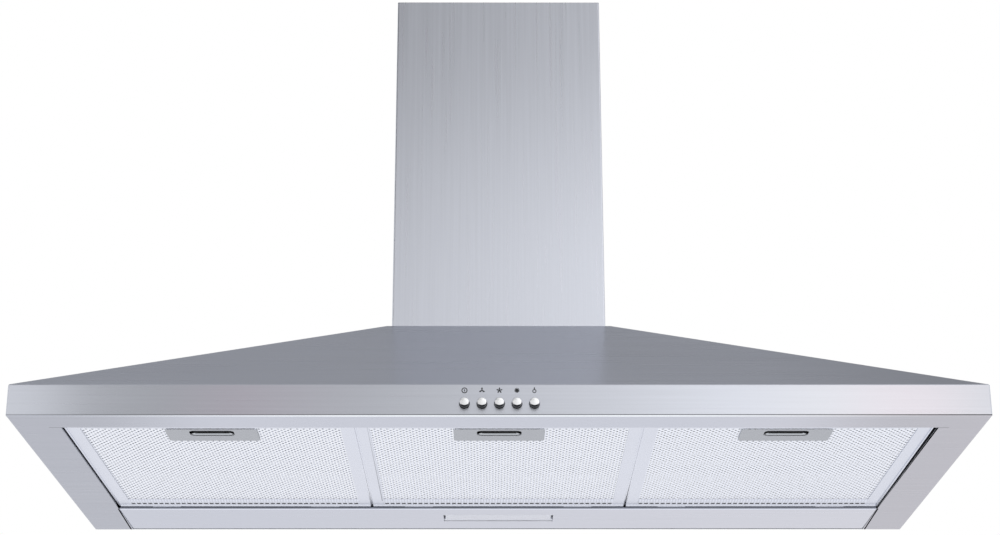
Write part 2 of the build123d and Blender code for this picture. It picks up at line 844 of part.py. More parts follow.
def junction_box():
    """Box on the back plate for the supply and the motor's wires, open at the front."""
    half = box_length / 2
    inside = half - box_wall
    rear, front = -back_thickness, -back_thickness - box_depth
    low, high = box_base, box_base + box_height
    box = block(box_x - half, box_x + half, front, rear, low, high)
    box -= block(
        box_x - inside, box_x + inside, front - 1, rear - box_wall, low + box_wall, high - box_wall)
    y = (rear + front) / 2
    box -= rod_x(gland_thread + fit_gap, box_x - half - 1, box_x - inside + 1, y, gland_z())
    return box - rod_x(capacitor_stud + fit_gap, box_x + inside - 1, box_x + half + 1, y, capacitor_z())


def gland_z():
    return box_base + gland_height


def capacitor_z():
    return box_base + capacitor_radius + sheet


def junction_lid():
    """Flat lid with four screw heads."""
    half = box_length / 2
    rear = -back_thickness - box_depth
    front = rear - box_lid
    low, high = box_base, box_base + box_height
    lid = block(box_x - half, box_x + half, front, rear, low, high)
    for x in (box_x - half + lid_screw_inset, box_x + half - lid_screw_inset):
        for z in (low + lid_screw_inset, high - lid_screw_inset):
            lid += rod_y(lid_screw_inset / 2, x, front - lid_screw_head, front, z)
    return lid


def terminal_block():
    """Screw terminals, each a pair of wells in one moulded strip."""
    rear = -back_thickness - box_wall
    front = rear - terminal_depth
    x0 = box_x - terminal_count * terminal_pitch / 2
    z = box_base + box_height / 2
    reach = terminal_height / 2
    strip = block(x0, x0 + terminal_count * terminal_pitch, front, rear, z - reach, z + reach)
    for i in range(terminal_count):
        x = x0 + (i + 0.5) * terminal_pitch
        for well_z in (z - reach / 2, z + reach / 2):
            strip -= rod_y(terminal_well, x, front - 1, front + terminal_depth / 3, well_z)
    return strip


def cable_gland():
    """Entry for the supply cable, with a hexagon nut outside the box."""
    x = box_x - box_length / 2
    y = -back_thickness - box_depth / 2
    end = x + box_wall + gland_tail
    gland = rod_x(gland_thread, x - gland_length, end, y, gland_z())
    nut = extrude(Plane.YZ * RegularPolygon(gland_radius, 6), -gland_nut)
    gland += Pos(x, y, gland_z()) * nut
    return gland - rod_x(gland_bore, x - gland_length - 1, end + 1, y, gland_z())


def capacitor():
    """Motor capacitor, held by its stud and a nut in the junction box's side."""
    x = box_x + box_length / 2
    y = -back_thickness - box_depth / 2
    can = rod_x(capacitor_radius, x, x + capacitor_length, y, capacitor_z())
    can = fillet(can.edges().filter_by(GeomType.CIRCLE), can_round)
    inner = x - box_wall
    can += rod_x(capacitor_stud, inner - 2 * capacitor_nut, x + 1, y, capacitor_z())
    return can + rod_x(2 * capacitor_stud, inner - capacitor_nut, inner, y, capacitor_z())


def lamp_driver():
    """Supply for the light, on the back plate at the other side."""
    half = driver_length / 2
    rear = -back_thickness
    low, high = box_base, box_base + driver_height
    body = block(driver_x - half, driver_x + half, rear - driver_depth, rear, low, high)
    for side in (-1, 1):
        x0, x1 = sorted((driver_x, driver_x + side * (half + driver_foot)))
        body += block(x0, x1, rear - box_wall, rear, low, high)
    front_edges = body.edges().filter_by(Axis.X).group_by(Axis.Y)[0]
    return fillet(front_edges, can_round)


def main():
    os.makedirs("parts", exist_ok=True)
    save("canopy_shell", canopy_shell())
    save("back_plate", back_plate())
    save("light_panel", light_panel())
    save("lamp_lens", lamp_lens())
    save("lamp_housing", lamp_housing())
    save("led_board", led_board())
    for i, name in enumerate(filter_names):
        x = (i - (filter_count - 1) / 2) * filter_pitch
        save(f"{name}_frame", filter_frame(x))
        save(f"{name}_face_mesh", face_mesh(x))
        save(f"{name}_mesh_pack", *mesh_pack(x))
        save(f"{name}_handle", handle_plate(x))
        save(f"{name}_latch", latch(x))
        save(f"{name}_latch_spring", latch_spring(x))
    for name, x in zip(button_names, button_places()):
        save(name, button(x))
    save("switch_block", switch_block())
    save("switch_strap", switch_strap())
    save("blower_casing_left", scroll_half(-1))
    save("blower_casing_right", scroll_half(1))
    save("blower_screws", *blower_screws())
    save("inlet_ring_left", inlet_ring(-1))
    save("inlet_ring_right", inlet_ring(1))
    save("inlet_guard", inlet_guard())
    save("impeller", impeller())
    save("motor", motor())
    save("motor_shaft", motor_shaft())
    save("motor_spider", motor_spider())
    save("outlet_collar", outlet_collar())
    save("flap_rod", flap_rod())
    save("front_flap", flap(-1))
    save("rear_flap", flap(1))
    save("lower_cover", cover(0, canopy_height, chimney_top))
    save("upper_cover", cover(upper_inset(), canopy_height + upper_lift, upper_top()))
    save("upper_bracket", upper_bracket())
    save("junction_box", junction_box())
    save("junction_lid", junction_lid())
    save("terminal_block", terminal_block())
    save("cable_gland", cable_gland())
    save("capacitor", capacitor())
    save("lamp_driver", lamp_driver())


main()
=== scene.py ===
"""A wall-mounted chimney range hood: filter meshes, push buttons, trim, finishes and studio.

Laid out as an add-on and run as a script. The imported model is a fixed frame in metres."""

import math

import bmesh
import bpy
from mathutils import Matrix, Vector


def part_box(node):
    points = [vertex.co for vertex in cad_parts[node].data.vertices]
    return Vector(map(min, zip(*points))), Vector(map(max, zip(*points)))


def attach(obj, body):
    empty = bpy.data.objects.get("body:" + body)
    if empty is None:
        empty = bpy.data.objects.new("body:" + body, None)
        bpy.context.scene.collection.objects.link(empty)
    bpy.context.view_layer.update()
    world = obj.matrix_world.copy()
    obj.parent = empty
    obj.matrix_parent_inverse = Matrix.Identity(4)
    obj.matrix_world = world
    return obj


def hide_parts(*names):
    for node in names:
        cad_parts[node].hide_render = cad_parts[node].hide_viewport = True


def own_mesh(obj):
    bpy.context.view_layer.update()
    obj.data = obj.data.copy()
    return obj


bl_info = {
    "name": "Chimney range hood",
    "version": (1, 0, 0),
    "blender": (4, 5, 0),
    "location": "3D View > Sidebar > Hood",
    "description": "Filter meshes, push buttons, trim, finishes and studio of a range hood",
    "category": "Object",
}

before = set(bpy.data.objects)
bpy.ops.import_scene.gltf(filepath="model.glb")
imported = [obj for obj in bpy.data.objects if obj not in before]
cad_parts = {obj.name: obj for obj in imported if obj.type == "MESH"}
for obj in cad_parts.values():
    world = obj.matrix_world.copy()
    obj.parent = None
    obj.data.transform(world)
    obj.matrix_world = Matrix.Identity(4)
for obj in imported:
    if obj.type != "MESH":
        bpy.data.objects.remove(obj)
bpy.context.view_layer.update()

MM = 0.001
FILTERS = ("filter_left", "filter_centre", "filter_right")
BUTTONS = ("power_button", "low_button", "medium_button", "high_button", "light_button")
SIDE_BORDER = 13.0 * MM  # of a filter frame, at its front and both sides
REAR_BORDER = 21.0 * MM
BORDER_RISE = 1.5 * MM  # from the lowest point of a frame's hooks to the underside of its border
PANEL_GAP = 1.05 * MM  # between a frame's rear edge and the light panel's bead
WINDOW_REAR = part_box("light_panel")[0].y - PANEL_GAP - REAR_BORDER
MERGE_REACH = 0.01 * MM  # points of neighbouring copies that are closer than this are merged


def linear(code):
    """An sRGB hex colour as linear red, green, blue and alpha."""
    values = [int(code[i : i + 2], 16) / 255 for i in (1, 3, 5)]
    linears = [v / 12.92 if v <= 0.04045 else ((v + 0.055) / 1.055) ** 2.4 for v in values]
    return (*linears, 1.0)


WHITE, BLACK = linear("#FFFFFF"), linear("#000000")
GAP_SHADE = linear("#25272C")  # painted shade of the gap along a cut edge of a sheet
WARM_REFLECTION = (1.07, 1.015, 0.98, 1.0)  # multiplies steel with a painted warm reflection


class HoodSizes(bpy.types.PropertyGroup):
    """Sizes of the pieces that are modelled here"""

    mesh_pitch: bpy.props.FloatProperty(
        name="Mesh pitch", description="Width of one opening of the expanded mesh",
        default=6.0 * MM, min=2.0 * MM, unit="LENGTH", precision=5,
    )
    mesh_row: bpy.props.FloatProperty(
        name="Mesh row", description="Distance from one row of openings to the next, staggered row",
        default=4.2 * MM, min=1.5 * MM, unit="LENGTH", precision=5,
    )
    mesh_strand: bpy.props.FloatProperty(
        name="Mesh strand", description="Width of one strand of the expanded mesh",
        default=2.9 * MM, min=0.2 * MM, unit="LENGTH", precision=5,
    )
    mesh_gauge: bpy.props.FloatProperty(
        name="Mesh gauge", description="Thickness of the expanded mesh",
        default=0.12 * MM, min=0.05 * MM, unit="LENGTH", precision=5,
    )
    mesh_twist: bpy.props.FloatProperty(
        name="Mesh twist", description="How far the strands are turned out of the sheet",
        default=0.05 * MM, min=0.0, unit="LENGTH", precision=5,
    )
    mesh_bond: bpy.props.FloatProperty(
        name="Mesh bond", description="Length of the uncut bond between two openings of one row",
        default=1.0 * MM, min=0.2 * MM, unit="LENGTH", precision=5,
    )
    crease_depth: bpy.props.FloatProperty(
        name="Crease depth", description="Depth of the crease along a finger slot's rear edge",
        default=2.0 * MM, min=0.2 * MM, unit="LENGTH", precision=5,
    )
    # the finger lip's lighter tone is painted light
    lip_depth: bpy.props.FloatProperty(
        name="Finger lip depth", description="Depth of the burnished lip behind a finger slot",
        default=2.8 * MM, min=0.5 * MM, unit="LENGTH", precision=5,
    )
    # the ribs of the mesh are painted light and shade
    rib_pitch: bpy.props.FloatProperty(
        name="Rib pitch", description="Distance from one rib of the expanded mesh to the next",
        default=3.0 * MM, min=1.0 * MM, unit="LENGTH", precision=5,
    )
    button_edge: bpy.props.FloatProperty(
        name="Button edge", description="Rounding of a push button's front edge",
        default=2.0 * MM, min=0.1 * MM, unit="LENGTH", precision=5,
    )
    symbol_size: bpy.props.FloatProperty(
        name="Symbol size", description="Height of the symbol above a push button",
        default=5.5 * MM, min=1.0 * MM, unit="LENGTH", precision=5,
    )
    symbol_rise: bpy.props.FloatProperty(
        name="Symbol rise", description="Height of a symbol's middle above its button's axis",
        default=12.6 * MM, min=5.0 * MM, unit="LENGTH", precision=5,
    )


class HoodColours(bpy.types.PropertyGroup):
    """Colours of the finishes and of the studio"""

    stainless: bpy.props.FloatVectorProperty(
        name="Stainless sheet", description="Brushed stainless steel of the canopy and chimney",
        default=linear("#CBCED7"), size=4, min=0.0, max=1.0, subtype="COLOR",
    )
    aluminium: bpy.props.FloatVectorProperty(
        name="Aluminium", description="Rolled aluminium of the filter frames",
        default=linear("#DADDE5"), size=4, min=0.0, max=1.0, subtype="COLOR",
    )
    mesh: bpy.props.FloatVectorProperty(
        name="Mesh", description="Expanded aluminium of the filters",
        default=linear("#FAFCFF"), size=4, min=0.0, max=1.0, subtype="COLOR",
    )
    # painted shade between the painted ribs and in the mesh's openings
    mesh_shade: bpy.props.FloatVectorProperty(
        name="Mesh shade", description="Shade between the ribs and in the openings of the mesh",
        default=linear("#F0F3FB"), size=4, min=0.0, max=1.0, subtype="COLOR",
    )
    plate: bpy.props.FloatVectorProperty(
        name="Handle plate", description="Satin plated steel of the filter handles",
        default=linear("#ABAEB2"), size=4, min=0.0, max=1.0, subtype="COLOR",
    )
    ink: bpy.props.FloatVectorProperty(
        name="Symbols", description="Printed symbols above the push buttons",
        default=linear("#101216"), size=4, min=0.0, max=1.0, subtype="COLOR",
    )
    floor: bpy.props.FloatVectorProperty(
        name="Floor", description="Pale studio floor",
        default=linear("#F2F2F3"), size=4, min=0.0, max=1.0, subtype="COLOR",
    )


# ---- modelling by hand ---------------------------------------------------------------------------


def deselect():
    """Leave edit mode and deselect everything, as a loaded frame and new shapes stay selected."""
    if bpy.context.object and bpy.context.object.mode != "OBJECT":
        bpy.ops.object.mode_set(mode="OBJECT")
    bpy.ops.object.select_all(action="DESELECT")


def take(*pieces):
    """Select some pieces alone, the first of them active."""
    deselect()
    for piece in pieces:
        piece.select_set(True)
    bpy.context.view_layer.objects.active = pieces[0]


def open_up(piece):
    """Take a piece into edit mode with all of it selected."""
    take(piece)
    bpy.ops.object.mode_set(mode="EDIT")
    bpy.ops.mesh.select_all(action="SELECT")


def pick(kind, test):
    """Select the faces, edges or verts of the piece in edit mode that pass a test."""
    bpy.ops.mesh.select_mode(type={"faces": "FACE", "edges": "EDGE", "verts": "VERT"}[kind])
    bpy.ops.mesh.select_all(action="DESELECT")
    shape = bmesh.from_edit_mesh(bpy.context.object.data)
    for item in getattr(shape, kind):
        item.select_set(bool(test(item)))
    shape.select_flush_mode()
    bmesh.update_edit_mesh(bpy.context.object.data)


def move(*step):
    """Move what is selected in edit mode."""
    bpy.ops.transform.translate(value=step)


def halve(point, normal, **settings):
    """Bisect what is selected in edit mode by a plane through a point."""
    bpy.ops.mesh.bisect(plane_co=point, plane_no=normal, **settings)


def settle(piece):
    """Put a piece's place, turn and size into its mesh."""
    take(piece)
    bpy.ops.object.transform_apply(location=True, rotation=True, scale=True)


def block_out(kind, place, size, turn=0.0):
    """Start a piece from a cube or a plane at its size and place, turned about X."""
    deselect()
    add = {"cube": bpy.ops.mesh.primitive_cube_add, "plane": bpy.ops.mesh.primitive_plane_add}
    add[kind](size=1.0, location=place, rotation=(turn, 0, 0))
    piece = bpy.context.object
    piece.scale = size
    settle(piece)
    return piece


def modify(piece, kind, **settings):
    """Add a modifier with its settings and apply it."""
    take(piece)
    modifier = piece.modifiers.new(kind.title(), kind)
    for key, value in settings.items():
        setattr(modifier, key, value)
    bpy.ops.object.modifier_apply(modifier=modifier.name)


def repeat(piece, count, step):
    """Array a piece by a constant step."""
    modify(
        piece, "ARRAY", count=count, use_relative_offset=False, use_constant_offset=True,
        constant_offset_displace=step,
    )


def round_off(piece, width, segments=2, degrees=30):
    """Bevel a piece's sharp edges."""
    modify(
        piece, "BEVEL", width=width, segments=segments, limit_method="ANGLE",
        angle_limit=math.radians(degrees),
    )


def smooth(piece, degrees=35):
    """Shade a piece smooth but for its sharp edges."""
    take(piece)
    bpy.ops.object.shade_smooth_by_angle(angle=math.radians(degrees))


def twin(piece, offset):
    """A copy with its own mesh, moved by an offset."""
    copy = piece.copy()
    copy.data = piece.data.copy()
    bpy.context.scene.collection.objects.link(copy)
    copy.data.transform(Matrix.Translation(offset))
    return copy


def join(pieces):
    """Join some pieces into the first of them."""
    take(*pieces)
    bpy.ops.object.join()
    return bpy.context.object


def enter(piece, name, body, slot, finish, *nodes):
    """Name a piece, finish it, and add it to the frame in the place of the given nodes."""
    piece.name = piece.data.name = name
    piece.data.materials.clear()
    piece.data.materials.append(finish)
    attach(piece, body)
    if nodes:
        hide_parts(*nodes)


def fit_each(*kinds):
    """Enter a copy of each kind of piece on every filter, and remove the first ones.

    A kind is a piece, the end of its name, its slot, its finish, and the end of the name of each
    node that it replaces."""
    for name in FILTERS:
        offset = (middle_of(f"{name}_frame"), 0.0, 0.0)
        for piece, label, slot, finish, *replaced in kinds:
            nodes = [f"{name}_{end}" for end in replaced]
            enter(twin(piece, offset), f"{name}_{label}", name, slot, finish, *nodes)
    for piece, *_ in kinds:
        bpy.data.objects.remove(piece)


def middle_of(node):
    """How far to the right of the hood's middle a node's middle is."""
    low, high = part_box(node)
    return (low.x + high.x) / 2


# ---- finishes ------------------------------------------------------------------------------------


def add_node(tree, kind, inputs=(), **settings):
    """Add a shader node with its settings and its inputs, in their order or by their keys.

    A node that is given as an input links its first output."""
    node = tree.nodes.new("ShaderNode" + kind)
    for key, value in settings.items():
        setattr(node, key, value)
    for key, value in inputs.items() if isinstance(inputs, dict) else enumerate(inputs):
        if isinstance(value, bpy.types.Node):
            value = value.outputs[0]
        if isinstance(value, bpy.types.NodeSocket):
            tree.links.new(value, node.inputs[key])
        else:
            node.inputs[key].default_value = value
    return node


def new_finish(name, colour, metallic, roughness):
    """A material with its plain values, its tree, its shader and its object coordinates."""
    finish = bpy.data.materials.new(name)
    finish.use_nodes = True
    finish.diffuse_color = colour
    tree = finish.node_tree
    shader = tree.nodes["Principled BSDF"]
    shader.inputs["Base Color"].default_value = colour
    shader.inputs["Metallic"].default_value = metallic
    shader.inputs["Roughness"].default_value = roughness
    return finish, tree, shader, add_node(tree, "TexCoord").outputs["Object"]


def tint(colour, share):
    """The same colour, lighter or darker by a share."""
    return tuple(min(1.0, v * share) for v in colour[:3]) + (1.0,)


def tints(colour, *shares):
    """The same colour lighter or darker by each of some shares."""
    return [tint(colour, share) for share in shares]


def soft_marks(tree, place, size, detail=2.0, low=0.3, high=0.7):
    """Soft random marks from 0 to 1, of a size in millimetres along X, Y and Z."""
    spot = add_node(tree, "Mapping", {"Vector": place, "Scale": [1.0 / (s * MM) for s in size]})
    cloud = add_node(tree, "TexNoise", {"Vector": spot, "Scale": 1.0, "Detail": detail})
    return add_node(tree, "MapRange", (cloud, low, high))


def ribs(tree, place, pitch):
    """Even ribs from 0 to 1 that lie side by side along X."""
    across = add_node(tree, "SeparateXYZ", (place,)).outputs[0]
    turns = add_node(tree, "Math", (across, 2 * math.pi / pitch), operation="MULTIPLY")
    waves = add_node(tree, "Math", (turns,), operation="SINE")
    return add_node(tree, "MapRange", (waves, -1.0))


def lay_over(tree, shader, tone, *layers, blend="MIX", socket="Base Color"):
    """Lay layers over a tone and link the result to the shader.

    A layer is a colour and its masks, and shows as far as all the masks let it."""
    for colour, mask, *others in layers:
        for other in others:
            mask = add_node(tree, "Math", (mask, other), operation="MULTIPLY")
        laid = {0: mask, 6: tone, 7: colour}
        tone = add_node(tree, "Mix", laid, data_type="RGBA", blend_type=blend).outputs[2]
    tree.links.new(tone, shader.inputs[socket])
    return tone


def wear_in(tree, shader, marks, colours, roughness):
    """Let marks vary a finish from its first colour and roughness to its second."""
    varied = add_node(tree, "MapRange", (marks, 0.0, 1.0, *roughness))
    tree.links.new(varied.outputs[0], shader.inputs["Roughness"])
    return lay_over(tree, shader, colours[0], (colours[1], marks))


def raise_up(tree, shader, height, depth, edge=0.0):
    """Raise the surface by a height from 0 to 1 times a depth, and round its edges off."""
    relief = add_node(tree, "Bump", {"Height": height, "Distance": depth})
    if edge:
        rounded = add_node(tree, "Bevel", {"Radius": edge}, samples=4)
        tree.links.new(rounded.outputs[0], relief.inputs["Normal"])
    tree.links.new(relief.outputs[0], shader.inputs["Normal"])


def along_grain(tree, shader, grain):
    """Stretch highlights across the grain, as parallel scratches do."""
    normal = add_node(tree, "TexCoord").outputs["Normal"]
    across = add_node(tree, "VectorMath", (normal, grain), operation="CROSS_PRODUCT")
    # a little is added, so that it is never zero where a cut edge faces along the grain
    safe = add_node(tree, "VectorMath", (across, (0.01, 0.02, 0.03)), operation="ADD")
    tree.links.new(safe.outputs[0], shader.inputs["Tangent"])
    shader.inputs["Anisotropic"].default_value = 0.6


def brush(tree, shader, place, colour):
    """Brush a sheet: X of the place runs along the grain.

    The scratches of a fine belt are 0.05 mm wide, drawn here at 0.35 mm so that they show, and run
    for about 60 mm. Fainter streaks 2.5 mm wide are where the belt cut a little more."""
    scratches = soft_marks(tree, place, (60.0, 0.35, 0.35))
    streaks = soft_marks(tree, place, (220.0, 2.5, 2.5))
    clouds = soft_marks(tree, place, (320.0, 160.0, 160.0), detail=1.0)
    worn = wear_in(tree, shader, streaks, tints(colour, 0.965, 1.03), (0.27, 0.32))
    raise_up(tree, shader, scratches, 0.003 * MM, edge=0.6 * MM)
    fine, soft = tints(colour, 0.72, 0.9)
    return lay_over(tree, shader, worn, (fine, scratches, 0.07), (soft, clouds, 0.15))


def darkened_areas(tree, spot, out, under):
    """Masks for painted shade on the flanges beside the filters, more at the left, and for the
    darker right end of the top.
    """
    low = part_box("canopy_shell")[0]
    reach = (out, 250.0 * MM, 385.0 * MM)
    outwards = add_node(tree, "MapRange", reach, interpolation_type="SMOOTHSTEP")
    painted_flange_shade = add_node(tree, "MapRange", (spot[0], low.x, -low.x, 1.0, 0.84))
    darker_right_top = add_node(tree, "MapRange", (spot[0], 250.0 * MM, 400.0 * MM))
    lip_top = low.z + 31.0 * MM
    above_lip = add_node(tree, "Math", (spot[2], lip_top), operation="GREATER_THAN")
    return (outwards, painted_flange_shade, under), (darker_right_top, above_lip)


def lowest_fold(tree, spot, out, under):
    """Masks for a painted shade line above the canopy's lowest fold, and a painted highlight along
    the fold.
    """
    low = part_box("canopy_shell")[0]
    upright = add_node(tree, "Math", (1.0, under), operation="SUBTRACT")
    bent = add_node(tree, "Math", (spot[2], low.z + 1.8 * MM), operation="LESS_THAN")
    deep = add_node(tree, "MapRange", (spot[0], low.x, -low.x, 0.45, 1.0))
    lowest = add_node(tree, "Math", (spot[2], low.z + 0.9 * MM), operation="LESS_THAN")
    foremost = add_node(tree, "Math", (spot[1], low.y + 2.2 * MM), operation="LESS_THAN")
    folded = add_node(tree, "Mix", {0: under, 2: lowest, 3: foremost})
    painted_fold_highlight = add_node(tree, "MapRange", (out, 150.0 * MM, 400.0 * MM, 0.9, 0.1))
    return (bent, upright, deep), (folded, painted_fold_highlight)


def opening_edges(tree, spot, out, under):
    """Masks for painted shade along the right edge of the canopy's opening and at the sheared
    edges, and for its butt joints.
    """
    corner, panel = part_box("filter_left_frame")[0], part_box("light_panel")[0].y
    side, front = -corner.x + 1.75 * MM, corner.y - 0.7 * MM
    beside = add_node(tree, "Math", (out, side), operation="GREATER_THAN")
    # painted shade of the gap along the right edge, which shows beside the filter, wider at its
    # front
    taper = add_node(tree, "MapRange", (spot[1], front, panel, side + 1.5 * MM, side))
    inner = add_node(tree, "Math", (spot[0], taper), operation="LESS_THAN")
    right = add_node(tree, "Math", (spot[0], side), operation="GREATER_THAN")
    behind = add_node(tree, "Math", (spot[1], front), operation="GREATER_THAN")
    # the joints run 11 mm outwards from the front corners
    on_joint = add_node(tree, "Math", (spot[1], front, 0.9 * MM), operation="COMPARE")
    short = add_node(tree, "Math", (out, side + 11.0 * MM), operation="LESS_THAN")
    # painted shade of the gaps at the sheared edges at the ends of the light panel, which slant
    # outwards to the rear
    slant = add_node(tree, "MapRange", (spot[1], panel, 0.0, side + 0.5 * MM, side + 2.5 * MM))
    on_slant = add_node(tree, "Math", (out, slant, 0.75 * MM), operation="COMPARE")
    beyond = add_node(tree, "Math", (spot[1], panel), operation="GREATER_THAN")
    # painted shade of the gap along the opening's right edge
    rolled = (inner, right, behind, under)
    butt = (on_joint, short, beside, under)
    sheared = (beyond, on_slant, beside, under)
    return rolled, butt, sheared


def brushed_canopy(name):
    """304 stainless sheet, belt brushed before it was folded.

    The grain runs left to right on the front and underneath, and front to back on the sides.
    Painted shade darkens the underside beside the filters, more at the left, and a painted warm
    reflection tints it towards its right, and the right end of the top is darker. A painted
    highlight runs along the lowest fold, under a painted shade line. Short butt joints run out from
    the front corners of the opening. The opening's right edge and the sheared edges at the ends of
    the light panel are painted dark as the shade of the gaps there, and reflect nothing, so that
    they stay dark at a low angle too."""
    colour = bpy.context.scene.hood_colours.stainless
    finish, tree, shader, place = new_finish(name, colour, 1.0, 0.3)
    normal = add_node(tree, "TexCoord").outputs["Normal"]
    facing = add_node(tree, "SeparateXYZ", (normal,)).outputs
    spot = add_node(tree, "SeparateXYZ", (place,)).outputs
    sideways = add_node(tree, "Math", (facing[0],), operation="ABSOLUTE")
    on_side = add_node(tree, "Math", (sideways, 0.2), operation="GREATER_THAN")
    swapped = add_node(tree, "CombineXYZ", (spot[1], spot[0], spot[2]))
    turned = add_node(tree, "Mix", {0: on_side, 4: place, 5: swapped}, data_type="VECTOR")
    grain = add_node(tree, "Mix", {0: on_side, 4: (1, 0, 0), 5: (0, 1, 0)}, data_type="VECTOR")
    toned = brush(tree, shader, turned.outputs[1], colour)
    along_grain(tree, shader, grain.outputs[1])
    out = add_node(tree, "Math", (spot[0],), operation="ABSOLUTE")
    under = add_node(tree, "Math", (facing[2], -0.5), operation="LESS_THAN")
    painted_flange_shade, darker_right_top = darkened_areas(tree, spot, out, under)
    painted_shade_line, painted_fold_highlight = lowest_fold(tree, spot, out, under)
    rolled, butt, sheared = opening_edges(tree, spot, out, under)
    toned = lay_over(
        tree, shader, toned,
        # painted shade on the flanges beside the filters
        (tint(colour, 0.73), *painted_flange_shade),
        # the right end of the top darker
        (tint(colour, 0.8), *darker_right_top),
        # a painted shade line above the lowest fold
        (tint(colour, 0.2), *painted_shade_line),
        # a painted highlight along the lowest fold
        (tint(colour, 1.6), *painted_fold_highlight),
        # painted shade of the gap along the opening's right edge
        (GAP_SHADE, *rolled),
        (tint(colour, 0.4), *butt),
        # painted shade of the gaps at the sheared edges
        (GAP_SHADE, *sheared),
    )
    # a painted warm reflection on the underside, growing to the right
    rightward_light = add_node(tree, "MapRange", (spot[0], 180.0 * MM, 430.0 * MM))
    lay_over(tree, shader, toned, (WARM_REFLECTION, rightward_light, under), blend="MULTIPLY")
    # no reflection where the gaps' shade is painted, so that it stays dark at a low angle
    cut = ((BLACK, *rolled), (BLACK, *sheared))
    lay_over(tree, shader, WHITE, *cut, socket="Specular Tint")
    return finish


def brushed_chimney(name):
    """304 stainless sheet, belt brushed from top to bottom."""
    colour = bpy.context.scene.hood_colours.stainless
    finish, tree, shader, place = new_finish(name, colour, 1.0, 0.3)
    spot = add_node(tree, "SeparateXYZ", (place,)).outputs
    turned = add_node(tree, "CombineXYZ", (spot[2], spot[0], spot[1]))
    brush(tree, shader, turned, colour)
    along_grain(tree, shader, (0, 0, 1))
    return finish


def brushed_panel(name):
    """304 stainless sheet, belt brushed from left to right.

    Painted light makes it a little brighter to the right. Painted shade darkens the rolled bead
    that holds the filters' hooks, as the shade of the gap there, and a painted highlight lightens
    the crease behind it."""
    colour = bpy.context.scene.hood_colours.stainless
    finish, tree, shader, place = new_finish(name, colour, 1.0, 0.3)
    toned = brush(tree, shader, place, colour)
    along_grain(tree, shader, (1, 0, 0))
    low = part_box("light_panel")[0]
    spot = add_node(tree, "SeparateXYZ", (place,)).outputs
    # painted light, a little lighter to the right
    rightward_light = add_node(tree, "MapRange", (spot[0], -300.0 * MM, 350.0 * MM))
    creased = add_node(tree, "Math", (spot[1], low.y + 5.0 * MM), operation="LESS_THAN")
    front = add_node(tree, "Math", (spot[1], low.y + 3.0 * MM), operation="LESS_THAN")
    above = add_node(tree, "Math", (spot[2], low.z + 0.2 * MM), operation="GREATER_THAN")
    pale = tuple(part * share for part, share in zip(colour, (1.1, 1.07, 1.04, 1.0)))
    # a painted highlight on the crease, and painted shade on the bead as the gap's shade
    crease, bead = (tint(colour, 1.25), creased), (linear("#7E828C"), front, above)
    lay_over(tree, shader, toned, (pale, rightward_light), crease, bead)
    return finish


def rolled_aluminium(name, colour, roughness=0.3):
    """Rolled aluminium strip: bright and even, with faint mill lines 0.5 mm apart along it.

    The hem along the left border of the centre filter stands off a little, more so at its rear, and
    its shadow is painted as a dark line along it, darker to the rear. The hooks at the rear, which
    only show in the gap, are painted dark as the gap's shade."""
    finish, tree, shader, place = new_finish(name, colour, 1.0, roughness)
    lines = soft_marks(tree, place, (50.0, 0.5, 0.5))
    clouds = soft_marks(tree, place, (70.0, 70.0, 70.0))
    rough = (roughness - 0.03, roughness + 0.04)
    tone = wear_in(tree, shader, lines, tints(colour, 0.97, 1.02), rough)
    spot = add_node(tree, "SeparateXYZ", (place,)).outputs
    low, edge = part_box("filter_centre_frame")[0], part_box("light_panel")[0].y - 1.0 * MM
    rear, hem = edge - REAR_BORDER, low.x + SIDE_BORDER - 1.6 * MM
    on_hem = add_node(tree, "Math", (spot[0], hem, 0.5 * MM), operation="COMPARE")
    before = add_node(tree, "Math", (spot[1], rear), operation="LESS_THAN")
    deep = add_node(tree, "MapRange", (spot[1], low.y, rear, 0.2, 0.8))
    hook = add_node(tree, "Math", (spot[1], edge), operation="GREATER_THAN")
    lay_over(
        tree, shader, tone,
        (tint(colour, 0.92), clouds, 0.3),
        # the painted shadow line of the hem, darker to the rear
        (linear("#6C7078"), on_hem, before, deep),
        # painted shade on the hooks, where they show in the gap
        (linear("#5C6069"), hook),
    )
    raise_up(tree, shader, lines, 0.004 * MM, edge=0.3 * MM)
    return finish


def expanded_aluminium(name):
    """Strands of expanded aluminium: bright, each a little different where it was torn open.

    The light and shade of strands that all lean one way is painted as ribs that run from front to
    back, with painted shade between them."""
    colours, sizes = bpy.context.scene.hood_colours, bpy.context.scene.hood_sizes
    finish, tree, shader, place = new_finish(name, colours.mesh, 1.0, 0.34)
    strands = soft_marks(tree, place, (3.0, 4.2, 3.0))
    tone = wear_in(tree, shader, strands, tints(colours.mesh, 0.95, 1.03), (0.3, 0.4))
    # painted ribs of light and shade, as strands that lean one way show
    painted_rib_shade = ribs(tree, place, sizes.rib_pitch)
    lay_over(tree, shader, colours.mesh_shade, (tone, painted_rib_shade))
    raise_up(tree, shader, soft_marks(tree, place, (0.8, 0.8, 0.8)), 0.004 * MM)
    return finish


